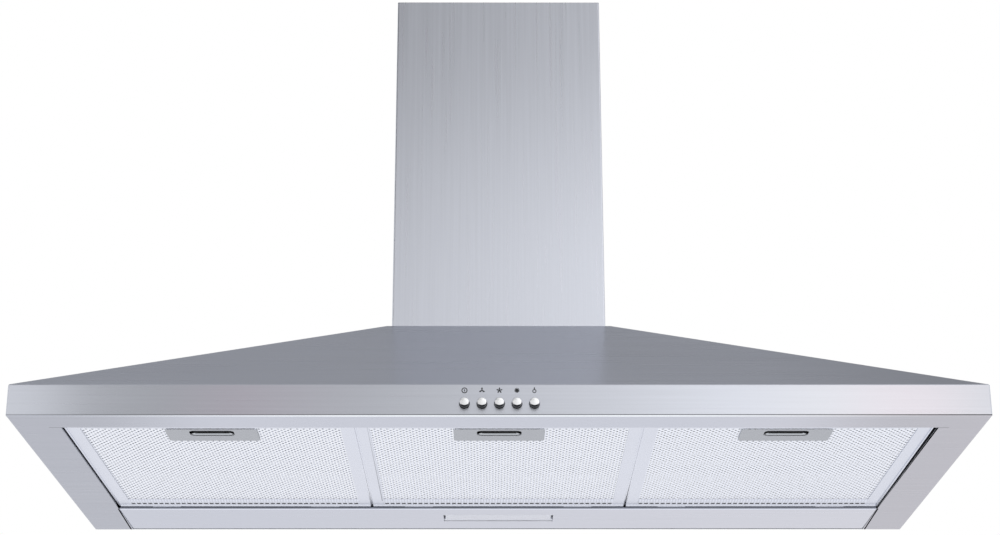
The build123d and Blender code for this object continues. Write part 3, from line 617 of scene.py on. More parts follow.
def mesh_layers(name):
    """The inner layers of expanded aluminium: bright strands round openings 6 mm wide, with painted
    shade in the openings and between painted ribs that run from front to back.
    """
    colours, sizes = bpy.context.scene.hood_colours, bpy.context.scene.hood_sizes
    finish, tree, shader, place = new_finish(name, colours.mesh, 1.0, 0.42)
    shrunk = {"Vector": place, "Scale": (1 / sizes.mesh_pitch, 0.5 / sizes.mesh_row, 0.0)}
    cells = {"Vector": add_node(tree, "Mapping", shrunk), "Scale": 2.0, "Randomness": 0.25}
    openings = add_node(tree, "TexVoronoi", cells, feature="DISTANCE_TO_EDGE")
    shaded = add_node(tree, "MapRange", (openings, 0.08, 0.2))
    # painted ribs of light and shade, as strands that lean one way show
    painted_rib_shade = ribs(tree, place, sizes.rib_pitch)
    marks = add_node(tree, "Math", (shaded, painted_rib_shade), operation="SUBTRACT", use_clamp=True)
    tone = wear_in(tree, shader, marks, (colours.mesh, colours.mesh_shade), (0.4, 0.5))
    clouds = soft_marks(tree, place, (40.0, 40.0, 40.0))
    lay_over(tree, shader, tone, (colours.mesh_shade, clouds, 0.2))
    raise_up(tree, shader, shaded, -0.02 * MM)
    return finish


def pierced_aluminium(name):
    """The edge strip of a mesh: bright aluminium with painted ribs of light and shade, and painted
    shade, black, inside its row of slots.
    """
    colour = bpy.context.scene.hood_colours.aluminium
    finish, tree, shader, place = new_finish(name, colour, 1.0, 0.34)
    # painted ribs of light and shade, as strands that lean one way show
    painted_rib_shade = ribs(tree, place, bpy.context.scene.hood_sizes.rib_pitch)
    tone = wear_in(tree, shader, painted_rib_shade, tints(colour, 0.88, 1.16), (0.3, 0.38))
    spot = add_node(tree, "SeparateXYZ", (place,)).outputs
    slot_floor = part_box("filter_centre_frame")[0].z + BORDER_RISE - 0.2 * MM
    above = add_node(tree, "Math", (spot[2], slot_floor), operation="GREATER_THAN")
    behind = add_node(tree, "Math", (spot[1], WINDOW_REAR + 5.0 * MM), operation="GREATER_THAN")
    # painted shade, black, inside the slots
    lay_over(tree, shader, tone, (linear("#16181C"), above, behind))
    return finish


def galvanised(name, code):
    """Hot dip galvanised sheet: zinc crystals about 7 mm across, each a different grey."""
    colour = linear(code)
    finish, tree, shader, place = new_finish(name, colour, 1.0, 0.42)
    cells = {"Vector": place, "Scale": 1.0 / (7.0 * MM), "Randomness": 1.0}
    crystals = add_node(tree, "TexVoronoi", cells).outputs["Color"]
    grey = add_node(tree, "SeparateColor", (crystals,)).outputs[0]
    wear_in(tree, shader, grey, tints(colour, 0.88, 1.06), (0.36, 0.5))
    raise_up(tree, shader, soft_marks(tree, place, (1.6, 1.6, 1.6)), 0.008 * MM, edge=0.4 * MM)
    return finish


def plated_steel(name, code, roughness):
    """Pressed steel strip, zinc plated or dark: even, with the soft grain of the strip."""
    colour = linear(code)
    finish, tree, shader, place = new_finish(name, colour, 1.0, roughness)
    grain = soft_marks(tree, place, (16.0, 0.5, 0.5))
    rough = (roughness - 0.04, roughness + 0.06)
    wear_in(tree, shader, grain, tints(colour, 0.95, 1.04), rough)
    raise_up(tree, shader, grain, 0.006 * MM, edge=0.35 * MM)
    return finish


def satin_plate(name):
    """Satin nickel plated steel: a soft grey, with a painted highlight on the edges that face the
    front.
    """
    colour = bpy.context.scene.hood_colours.plate
    finish, tree, shader, place = new_finish(name, colour, 1.0, 0.34)
    grain = soft_marks(tree, place, (16.0, 0.5, 0.5))
    tone = wear_in(tree, shader, grain, tints(colour, 0.96, 1.03), (0.3, 0.4))
    normal = add_node(tree, "TexCoord").outputs["Normal"]
    forwards = add_node(tree, "SeparateXYZ", (normal,)).outputs[1]
    # a painted highlight where the plate faces the front
    edge = add_node(tree, "Math", (forwards, -0.6), operation="LESS_THAN")
    lay_over(tree, shader, tone, (linear("#F2F4F8"), edge))
    raise_up(tree, shader, grain, 0.005 * MM, edge=0.35 * MM)
    return finish


def pressed_wall(name):
    """The lip that the press formed along a finger slot's rear: lighter than the plate as painted
    light, above a painted shade along its crease.
    """
    # painted light: lighter than the plate, as the lit lip
    colour = linear("#BCC0C2")
    finish, tree, shader, place = new_finish(name, colour, 1.0, 0.3)
    drawn = soft_marks(tree, place, (6.0, 0.6, 0.6))
    tone = wear_in(tree, shader, drawn, tints(colour, 0.93, 1.05), (0.26, 0.36))
    height = add_node(tree, "SeparateXYZ", (place,)).outputs[2]
    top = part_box("filter_centre_handle")[0].z + 0.42 * MM
    crease = add_node(tree, "Math", (height, top), operation="LESS_THAN")
    # painted shade along the lip's crease
    lay_over(tree, shader, tone, (linear("#3C3F44"), crease))
    raise_up(tree, shader, drawn, 0.004 * MM)
    return finish


def chromed_brass(name):
    """Turned brass under satin chrome on the buttons' faces, and a painted dark reflection
    elsewhere.

    The painted dark begins 2.4 mm behind the face, and where the rounded edge turns downwards."""
    bright, black = linear("#FAFBFD"), linear("#1C1E22")
    finish, tree, shader, place = new_finish(name, bright, 1.0, 0.3)
    haze = soft_marks(tree, place, (2.5, 2.5, 2.5))
    tone = wear_in(tree, shader, haze, (bright, tint(bright, 0.96)), (0.26, 0.34))
    depth = add_node(tree, "SeparateXYZ", (place,)).outputs[1]
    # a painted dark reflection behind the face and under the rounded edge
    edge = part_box(BUTTONS[0])[0].y + 2.4 * MM
    behind = add_node(tree, "Math", (depth, edge), operation="GREATER_THAN")
    normal = add_node(tree, "TexCoord").outputs["Normal"]
    upwards = add_node(tree, "SeparateXYZ", (normal,)).outputs[2]
    low = add_node(tree, "MapRange", (upwards, -0.3, -0.55))
    # the painted dark reflection
    lay_over(tree, shader, tone, (black, behind), (black, low))
    return finish


def moulded(name, code, roughness, grain=0.6, depth=0.02):
    """Moulded plastic: an even colour under the fine texture that its mould was etched with.

    The texture's grain and depth are in millimetres."""
    colour = linear(code)
    finish, tree, shader, place = new_finish(name, colour, 0.0, roughness)
    shader.inputs["IOR"].default_value = 1.49
    flow = soft_marks(tree, place, (55.0, 55.0, 110.0))
    rough = (roughness - 0.06, roughness + 0.08)
    wear_in(tree, shader, flow, tints(colour, 0.9, 1.07), rough)
    etched = soft_marks(tree, place, (grain, grain, grain))
    raise_up(tree, shader, etched, depth * MM, edge=0.5 * MM)
    return finish


def opal_lens(name):
    """Opal polycarbonate: milky and satin, with the 2 mm prisms of a diffuser across it."""
    colour = linear("#EAEDF8")
    finish, tree, shader, place = new_finish(name, colour, 0.0, 0.3)
    shader.inputs["IOR"].default_value = 1.58
    frost = soft_marks(tree, place, (1.1, 1.1, 1.1))
    wear_in(tree, shader, frost, (tint(colour, 0.97), colour), (0.26, 0.38))
    raise_up(tree, shader, ribs(tree, place, 2.0 * MM), 0.04 * MM, edge=0.5 * MM)
    return finish


def solder_mask(name):
    """Glass epoxy board under green solder mask, its tracks 3 mm apart, its dies yellow."""
    finish, tree, shader, place = new_finish(name, linear("#1E6B3C"), 0.0, 0.35)
    spot = add_node(tree, "SeparateXYZ", (place,)).outputs
    rows = add_node(tree, "Math", (spot[1], 3.0 * MM), operation="DIVIDE")
    part = add_node(tree, "Math", (rows,), operation="FRACT")
    tracks = add_node(tree, "Math", (part, 0.35), operation="LESS_THAN")
    board = wear_in(tree, shader, tracks, (linear("#1B5A34"), linear("#2F8450")), (0.38, 0.3))
    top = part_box("led_board")[0].z + 0.6 * MM
    die = add_node(tree, "Math", (spot[2], top), operation="LESS_THAN")
    lay_over(tree, shader, board, (linear("#E5C95A"), die))
    raise_up(tree, shader, tracks, 0.03 * MM)
    return finish


def baked_enamel(name):
    """Dark baked enamel on a drawn steel can, with an orange peel 1.5 mm across and some dust."""
    colour = linear("#2B2E33")
    finish, tree, shader, place = new_finish(name, colour, 0.0, 0.38)
    dust = soft_marks(tree, place, (25.0, 25.0, 25.0), detail=4.0, low=0.45, high=0.8)
    wear_in(tree, shader, dust, (colour, linear("#4A4C50")), (0.32, 0.55))
    raise_up(tree, shader, soft_marks(tree, place, (1.5, 1.5, 1.5)), 0.03 * MM)
    return finish


def printed_ink(name):
    """Screen printed ink, slightly thinner where the brushed steel's ridges are."""
    colour = bpy.context.scene.hood_colours.ink
    finish, tree, shader, place = new_finish(name, colour, 0.0, 0.5)
    ridges = soft_marks(tree, place, (3.5, 0.4, 0.4), low=0.45, high=0.9)
    wear_in(tree, shader, ridges, (colour, linear("#50545B")), (0.42, 0.6))
    return finish


def dress(finish, *nodes):
    """Give frame nodes a finish."""
    for node in nodes:
        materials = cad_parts[node].data.materials
        materials.clear()
        materials.append(finish)


# ---- steps ---------------------------------------------------------------------------------------


class SheetMetal(bpy.types.Operator):
    """Finish the canopy, chimney covers and light panel in brushed stainless, others galvanised"""

    bl_idname = "hood.sheet_metal"
    bl_label = "Sheet metal"

    def execute(self, context):
        dress(brushed_canopy("brushed_stainless_canopy"), "canopy_shell")
        dress(brushed_chimney("brushed_stainless_chimney"), "lower_cover", "upper_cover")
        dress(brushed_panel("brushed_stainless_panel"), "light_panel")
        zinc = galvanised("galvanised_sheet", "#B4B9BD")
        dress(zinc, "back_plate", "upper_bracket", "switch_strap", "motor_spider", "inlet_guard")
        return {"FINISHED"}


class InnerParts(bpy.types.Operator):
    """Finish the lamp, blower, flaps and electric parts"""

    bl_idname = "hood.inner_parts"
    bl_label = "Inner parts"

    def execute(self, context):
        dress(opal_lens("opal_polycarbonate"), "lamp_lens")
        dress(moulded("white_abs", "#E6E6E2", 0.42), "lamp_driver", "terminal_block")
        dress(moulded("white_abs_lamp_box", "#D9DADD", 0.45), "lamp_housing")
        sleeve = moulded("sleeved_capacitor_can", "#D9DBDD", 0.3, grain=1.2, depth=0.01)
        dress(sleeve, "capacitor")
        dress(solder_mask("solder_mask"), "led_board")
        casing = moulded("grey_polypropylene", "#8C9095", 0.5, grain=0.8, depth=0.04)
        dress(casing, "blower_casing_left", "blower_casing_right")
        dress(moulded("grey_abs", "#A9ACAF", 0.45), "junction_box", "junction_lid")
        black = moulded("black_nylon", "#1C1D20", 0.48, grain=0.5, depth=0.03)
        dress(black, "switch_block", "cable_gland", "outlet_collar", "front_flap", "rear_flap")
        dress(black, "inlet_ring_left", "inlet_ring_right", "impeller")
        dress(baked_enamel("baked_enamel"), "motor")
        zinc = plated_steel("bright_zinc_plate", "#C3C6CA", 0.22)
        dress(zinc, "motor_shaft", "flap_rod", "blower_screws")
        return {"FINISHED"}


class LensSeals(bpy.types.Operator):
    """Lay a white seal along the front and the rear of the lamp's opening"""

    bl_idname = "hood.lens_seals"
    bl_label = "Lens seals"

    def execute(self, context):
        low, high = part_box("lamp_lens")
        length = 2 * (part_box("lamp_housing")[1].x - 3.4 * MM)
        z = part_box("light_panel")[0].z + 0.45 * MM
        strips = []
        for y in (low.y - 0.3 * MM, high.y + 0.3 * MM):
            strips.append(block_out("cube", (0.0, y, z), (length, 0.36 * MM, 0.7 * MM)))
            round_off(strips[-1], 0.1 * MM)
        seals = join(strips)
        smooth(seals)
        silicone = moulded("white_silicone", "#F2F3F8", 0.4, depth=0.005)
        enter(seals, "lens_seals", "hood", "white_plastic", silicone)
        return {"FINISHED"}


class FilterMeshes(bpy.types.Operator):
    """Expand the fine aluminium mesh of the three grease filters"""

    bl_idname = "hood.filter_meshes"
    bl_label = "Filter meshes"

    def execute(self, context):
        sizes, colours = context.scene.hood_sizes, context.scene.hood_colours
        rolled = rolled_aluminium("rolled_aluminium", colours.aluminium)
        dress(rolled, *(f"{name}_frame" for name in FILTERS))
        layers = mesh_layers("expanded_aluminium_layers")
        dress(layers, *(f"{name}_mesh_pack" for name in FILTERS))
        sheet, finish = self.expanded_sheet(sizes), expanded_aluminium("expanded_aluminium")
        fit_each((sheet, "expanded_mesh", "filter_mesh", finish, "face_mesh"))
        return {"FINISHED"}

    def expanded_sheet(self, sizes):
        """One sheet of six-sided openings, a little larger than the window, open round the cup."""
        pitch, row = sizes.mesh_pitch, sizes.mesh_row
        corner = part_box("filter_centre_frame")[0]
        overlap = 3.0 * MM
        low = Vector((corner.x + SIDE_BORDER - overlap, corner.y + SIDE_BORDER - overlap, 0.0))
        high = Vector((-low.x, WINDOW_REAR + overlap, 0.0))
        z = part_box("filter_centre_face_mesh")[0].z + sizes.mesh_gauge / 2 + sizes.mesh_twist
        columns = math.ceil((high.x - low.x) / pitch) + 1
        rows = math.ceil((high.y - low.y) / (2 * row)) + 1
        sheet = self.two_openings(sizes)
        move(-columns * pitch / 2, low.y, z)
        bpy.ops.object.mode_set(mode="OBJECT")
        repeat(sheet, columns, (pitch, 0, 0))
        repeat(sheet, rows, (0, 2 * row, 0))
        open_up(sheet)
        bpy.ops.mesh.remove_doubles(threshold=MERGE_REACH)
        for end, sign in ((low, -1), (high, 1)):
            for normal in ((sign, 0, 0), (0, sign, 0)):
                bpy.ops.mesh.select_all(action="SELECT")
                halve(end, normal, clear_outer=True)
        self.cut_round_cup(2 * row)
        bpy.ops.object.mode_set(mode="OBJECT")
        modify(sheet, "SOLIDIFY", thickness=sizes.mesh_gauge, offset=0.0)
        return sheet

    def two_openings(self, sizes):
        """The strands round one opening and round its neighbour in the next row."""
        pitch, row, bond = sizes.mesh_pitch, sizes.mesh_row, sizes.mesh_bond
        deselect()
        bpy.ops.mesh.primitive_circle_add(vertices=6, radius=1.0, fill_type="NGON")
        sheet = bpy.context.object
        open_up(sheet)
        across, tall = pitch / math.sqrt(3), (row - bond / 2) / bond
        bpy.ops.transform.resize(value=(across, bond, 1.0), center_override=(0, 0, 0))
        pick("verts", lambda v: abs(v.co.x) < 0.1 * pitch)
        bpy.ops.transform.resize(value=(1.0, tall, 1.0), center_override=(0, 0, 0))
        bpy.ops.mesh.select_all(action="SELECT")
        bpy.ops.mesh.inset(thickness=sizes.mesh_strand / 2)
        bpy.ops.mesh.delete(type="ONLY_FACE")
        for sign in (-1, 1):
            pick("verts", lambda v: 0.1 * pitch < v.co.x * sign < 0.49 * pitch)
            move(0, 0, sign * sizes.mesh_twist)
        bpy.ops.mesh.select_all(action="SELECT")
        bpy.ops.mesh.duplicate_move(TRANSFORM_OT_translate={"value": (pitch / 2, row, 0)})
        bpy.ops.mesh.select_all(action="SELECT")
        return sheet

    def cut_round_cup(self, margin):
        """Cut out the rectangle where the handle's cup goes through the sheet."""
        inset = Vector((1.1 * MM, 1.1 * MM, 0.0))
        low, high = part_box("filter_centre_handle")
        low, high = low + inset, high - inset

        def near(face, reach):
            """Whether a face's middle is in the rectangle or within reach of it."""
            spot = face.calc_center_median()
            beside = low.x - reach < spot.x < high.x + reach
            return beside and low.y - reach < spot.y < high.y + reach

        for corner in (low, high):
            for normal in ((1, 0, 0), (0, 1, 0)):
                pick("faces", lambda face: near(face, margin))
                halve(corner, normal)
        pick("faces", lambda face: near(face, 0.0))
        bpy.ops.mesh.delete(type="FACE")


class FilterTrim(bpy.types.Operator):
    """Roll the side edges of the filter frames and pierce the strip behind each mesh"""

    bl_idname = "hood.filter_trim"
    bl_label = "Filter trim"

    def execute(self, context):
        colour = context.scene.hood_colours.aluminium
        finish = rolled_aluminium("rolled_aluminium_edge", colour, 0.26)
        # filter, side, and in millimetres how far the edge stands out at its front, at its bend
        # and at its rear, and its drop
        edges = (
            ("filter_left", -1, 0.70, 0.70, 0.70, 0.6),
            ("filter_left", 1, 0.44, 0.44, 0.42, 0.3),
            ("filter_centre", -1, 0.44, 0.44, 0.42, 0.3),
            ("filter_centre", 1, 0.46, 0.42, 0.02, 0.3),
            ("filter_right", -1, 0.46, 0.42, 0.02, 0.3),
            ("filter_right", 1, 0.02, 0.70, 1.10, 1.2),
        )
        for name, side, *reaches, drop in edges:
            piece = self.rolled_edge(name, side, [reach * MM for reach in reaches], drop * MM)
            label = "left" if side < 0 else "right"
            enter(piece, f"{name}_{label}_rolled_edge", name, "filter_frame", finish)
        strip = self.pierced_strip(context.scene.hood_sizes.mesh_pitch)
        pierced = pierced_aluminium("pierced_aluminium_strip")
        fit_each(
            (strip, "pierced_strip", "filter_mesh", pierced),
            (self.rear_lip(), "rear_lip", "filter_frame", finish),
        )
        return {"FINISHED"}

    def rear_lip(self):
        """A lip that slopes down to the rear edge of a frame, in front of its hooks."""
        low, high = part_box("filter_centre_frame")
        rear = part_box("light_panel")[0].y - 1.15 * MM
        under = low.z + BORDER_RISE
        depth, height, slope = 6.5 * MM, 1.4 * MM, 1.1 * MM
        place = (0.0, rear - depth / 2, under - 0.65 * MM)
        lip = block_out("cube", place, (2 * (high.x - 0.9 * MM), depth, height))
        open_up(lip)
        pick("verts", lambda v: v.co.y < rear - 0.5 * depth and v.co.z < under - 0.5 * MM)
        move(0, 0, slope)
        bpy.ops.object.mode_set(mode="OBJECT")
        round_off(lip, 0.1 * MM)
        smooth(lip)
        return lip

    def rolled_edge(self, name, side, reaches, drop):
        """A rounded bead along one side of a frame, which closes the gap more or less."""
        low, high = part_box(f"{name}_frame")
        edge = low.x if side < 0 else high.x
        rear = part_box("light_panel")[0].y - 1.3 * MM
        front, bend = low.y + 0.2 * MM, low.y + 0.67 * (rear - low.y)
        under = low.z + BORDER_RISE
        inner, outer = edge - side * 1.1 * MM, edge + side * reaches[0]
        sunk = 0.1 * MM  # how far it reaches up into the border
        place = ((inner + outer) / 2, (front + rear) / 2, under - drop / 2 + sunk / 2)
        bead = block_out("cube", place, (abs(outer - inner), rear - front, drop + sunk))
        open_up(bead)
        halve((0, bend, 0), (0, 1, 0))
        for y, reach in ((bend, reaches[1]), (rear, reaches[2])):
            pick(
                "verts",
                lambda v: abs(v.co.y - y) < 0.1 * MM and (v.co.x - inner) * side > 0.5 * MM,
            )
            move(side * (reach - reaches[0]), 0, 0)
        bpy.ops.object.mode_set(mode="OBJECT")
        round_off(bead, 0.24 * MM, segments=3)
        smooth(bead)
        return bead

    def pierced_strip(self, pitch):
        """A narrow strip along the window's rear edge, with a row of pierced slots."""
        low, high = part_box("filter_centre_frame")
        half = high.x - SIDE_BORDER
        count = round(2 * half / pitch)
        overlap = 5.0 * MM
        front = WINDOW_REAR - overlap
        slot_front, slot_rear = WINDOW_REAR + 7.0 * MM, WINDOW_REAR + 12.4 * MM
        width, depth = 2 * half / count, 13.4 * MM + overlap
        rise, slot_depth, gauge = 1.15 * MM, 0.25 * MM, 0.08 * MM
        place = (-half + width / 2, front + depth / 2, low.z + BORDER_RISE - 0.35 * MM)
        strip = block_out("plane", place, (width, depth, 1.0))
        open_up(strip)
        for y in (WINDOW_REAR, slot_front, slot_rear):
            bpy.ops.mesh.select_all(action="SELECT")
            halve((0, y, 0), (0, 1, 0))
        pick("verts", lambda v: v.co.y < WINDOW_REAR - 0.5 * overlap)
        move(0, 0, rise)
        pick("faces", lambda face: slot_front < face.calc_center_median().y < slot_rear)
        bpy.ops.mesh.inset(thickness=0.1 * MM)
        slot_share = 0.72  # of the pitch
        bpy.ops.transform.resize(value=(slot_share, 1.0, 1.0), center_override=place)
        bpy.ops.mesh.extrude_region_move(TRANSFORM_OT_translate={"value": (0, 0, slot_depth)})
        bpy.ops.mesh.select_all(action="SELECT")
        bpy.ops.mesh.flip_normals()
        bpy.ops.object.mode_set(mode="OBJECT")
        repeat(strip, count, (width, 0, 0))
        open_up(strip)
        bpy.ops.mesh.remove_doubles(threshold=MERGE_REACH)
        bpy.ops.object.mode_set(mode="OBJECT")
        modify(strip, "SOLIDIFY", thickness=gauge, offset=-1.0)
        return strip


class Handles(bpy.types.Operator):
    """Finish the handles and latches, and press a lip along the rear of each finger slot"""

    bl_idname = "hood.handles"
    bl_label = "Handles"

    def execute(self, context):
        dress(satin_plate("satin_nickel_plate"), *(f"{name}_handle" for name in FILTERS))
        # a dark finish on the latches, which also stands in for the painted shade inside the finger
        # slots
        dark_latch_steel = plated_steel("blued_spring_steel", "#2A2C31", 0.4)
        dress(dark_latch_steel, *(f"{name}_latch" for name in FILTERS))
        lip = self.finger_lip(context.scene.hood_sizes)
        wall = pressed_wall("burnished_nickel_plate")
        fit_each((lip, "finger_lip", "handle_metal", wall))
        return {"FINISHED"}

    def finger_lip(self, sizes):
        """A lip that leans in and up from the slot's rear edge and its rear corners."""
        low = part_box("filter_centre_handle")[0]
        width, depth, corner = 42.0 * MM, 17.5 * MM, 5.0 * MM
        front = low.y + 4.5 * MM
        place, gap = (0.0, front + depth / 2, low.z + 0.05 * MM), 0.1 * MM
        lip = block_out("plane", place, (width - gap, depth - gap, 1.0))
        open_up(lip)
        bpy.ops.mesh.bevel(offset=corner, segments=8, affect="VERTICES")
        pick("faces", lambda face: True)
        for depth_in, rise in ((sizes.crease_depth, 0.35 * MM), (sizes.lip_depth, 0.6 * MM)):
            bpy.ops.mesh.inset(thickness=depth_in)
            move(0, 0, rise)
        bpy.ops.mesh.delete(type="FACE")
        bpy.ops.mesh.select_all(action="SELECT")
        halve((0, front + 0.62 * depth, 0), (0, 1, 0), clear_inner=True)
        bpy.ops.object.mode_set(mode="OBJECT")
        modify(lip, "SOLIDIFY", thickness=0.25 * MM, offset=1.0)
        round_off(lip, 0.08 * MM, degrees=50)
        smooth(lip, 50)
        return lip


class LatchSprings(bpy.types.Operator):
    """Copy the coil springs of the latches onto their filters, merged and shaded smooth"""

    bl_idname = "hood.latch_springs"
    bl_label = "Latch springs"

    def execute(self, context):
        steel = plated_steel("bright_zinc_spring_wire", "#C3C6CA", 0.22)
        for name in FILTERS:
            node = f"{name}_latch_spring"
            spring = bpy.data.objects.new(node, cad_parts[node].data.copy())
            context.scene.collection.objects.link(spring)
            open_up(spring)
            bpy.ops.mesh.remove_doubles(threshold=0.001 * MM)
            bpy.ops.object.mode_set(mode="OBJECT")
            smooth(spring, 40)
            enter(spring, f"{name}_coil_spring", name, "bright_steel", steel, node)
            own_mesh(spring)
        return {"FINISHED"}


class PushButtons(bpy.types.Operator):
    """Turn the five chromed push buttons"""

    bl_idname = "hood.push_buttons"
    bl_label = "Push buttons"

    def execute(self, context):
        button = self.turned_button(context.scene.hood_sizes)
        finish = chromed_brass("chromed_brass")
        for name in BUTTONS:
            piece = twin(button, (middle_of(name) - middle_of(BUTTONS[0]), 0.0, 0.0))
            enter(piece, f"{name}_turned", name, "button_chrome", finish, name)
        bpy.data.objects.remove(button)
        return {"FINISHED"}

    def turned_button(self, sizes):
        """A domed cap, a collar behind the lip and a stem."""
        low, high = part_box(BUTTONS[0])
        middle = (low + high) / 2
        collar = (high.x - low.x) / 2
        cap, stem, dome = collar - 1.0 * MM, 2.5 * MM, 0.5 * MM
        collar_front, collar_rear = low.y + 14.7 * MM, low.y + 16.2 * MM
        deselect()
        bpy.ops.mesh.primitive_cylinder_add(
            vertices=64, radius=cap, depth=collar_front - low.y - dome,
            rotation=(math.pi / 2, 0, 0),
            location=(middle.x, (collar_front + low.y + dome) / 2, middle.z),
        )
        button = bpy.context.object
        settle(button)
        open_up(button)
        pick("edges", lambda e: all(v.co.y < low.y + 1.0 * MM for v in e.verts))
        bpy.ops.mesh.bevel(offset=sizes.button_edge, segments=8)
        flat, large = 0.99, 1.0 * MM * MM  # an end faces along Y and is larger than this
        pick("faces", lambda f: f.normal.y < -flat and f.calc_area() > large)
        # the dome's rings: how wide, and how far each stands out, in millimetres
        for ring, rise in ((0.4, 0.18), (0.6, 0.16), (0.6, 0.10), (0.5, 0.06)):
            bpy.ops.mesh.inset(thickness=ring * MM)
            move(0, -rise * MM, 0)
        for radius, y in ((collar, collar_rear), (stem, high.y)):
            pick("faces", lambda f: f.normal.y > flat and f.calc_area() > large)
            bpy.ops.mesh.extrude_region_move(TRANSFORM_OT_translate={"value": (0, 0, 0)})
            face = [f for f in bmesh.from_edit_mesh(button.data).faces if f.select][0]
            spot = face.calc_center_median()
            share = radius / max((v.co - spot).length for v in face.verts)
            bpy.ops.transform.resize(value=(share, 1.0, share), center_override=spot)
            back = {"value": (0, y - spot.y, 0)}
            bpy.ops.mesh.extrude_region_move(TRANSFORM_OT_translate=back)
        bpy.ops.object.mode_set(mode="OBJECT")
        smooth(button, 40)
        return button


class Symbols(bpy.types.Operator):
    """Print the symbols above the push buttons: a ring and bar, three fans and a lamp"""

    bl_idname = "hood.symbols"
    bl_label = "Button symbols"

    def execute(self, context):
        sizes = context.scene.hood_sizes
        finish = printed_ink("screen_printed_ink")
        reach = sizes.symbol_size / 2
        signs = (
            lambda centre: self.ring_and_bar(centre, reach),
            lambda centre: self.fan(centre, reach, 3, 0.26),
            lambda centre: self.fan(centre, reach, 5, 0.22),
            lambda centre: self.fan(centre, 0.9 * reach, 9, 0.2),
            lambda centre: self.lamp(centre, reach),
        )
        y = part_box("canopy_shell")[0].y - 0.05 * MM
        for name, sign in zip(BUTTONS, signs):
            low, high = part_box(name)
            centre = Vector((middle_of(name), y, (low.z + high.z) / 2 + sizes.symbol_rise))
            piece = join(sign(centre))
            settle(piece)
            modify(piece, "SOLIDIFY", thickness=0.06 * MM, offset=0.0)
            enter(piece, f"{name}_symbol", "hood", "black_plastic", finish)
        return {"FINISHED"}

    def oval(self, centre, width, height, turn=0.0, corners=20):
        """A flat oval that faces the front, turned about its middle."""
        deselect()
        bpy.ops.mesh.primitive_circle_add(
            vertices=corners, radius=1.0, fill_type="NGON", location=centre,
            rotation=(math.pi / 2, turn, 0),
        )
        oval = bpy.context.object
        oval.scale = (width, height, 1.0)
        return oval

    def ring(self, centre, radius, width):
        """A flat ring that faces the front."""
        ring = self.oval(centre, radius, radius, corners=32)
        settle(ring)
        open_up(ring)
        bpy.ops.mesh.inset(thickness=width)
        bpy.ops.mesh.delete(type="FACE")
        bpy.ops.object.mode_set(mode="OBJECT")
        return ring

    def ring_and_bar(self, centre, reach):
        """The sign for power."""
        bar = (0.17 * reach, 0.45 * reach)
        return [self.ring(centre, reach, 0.3 * reach), self.oval(centre, *bar, corners=12)]

    def fan(self, centre, reach, count, width):
        """A hub with ovals round it for blades, their width a share of the fan's reach."""
        pieces = [self.oval(centre, 0.25 * reach, 0.25 * reach, corners=16)]
        for i in range(count):
            turn = 2 * math.pi * i / count
            out = Vector((math.sin(turn), 0, math.cos(turn))) * 0.6 * reach
            pieces.append(self.oval(centre + out, width * reach, 0.42 * reach, turn))
        return pieces

    def lamp(self, centre, reach):
        """A ring with a tip on it, as a lamp bulb."""
        drop = self.ring(centre - Vector((0, 0, 0.25 * reach)), 0.68 * reach, 0.27 * reach)
        above = centre + Vector((0, 0, 0.72 * reach))
        return [drop, self.oval(above, 0.2 * reach, 0.42 * reach, corners=12)]


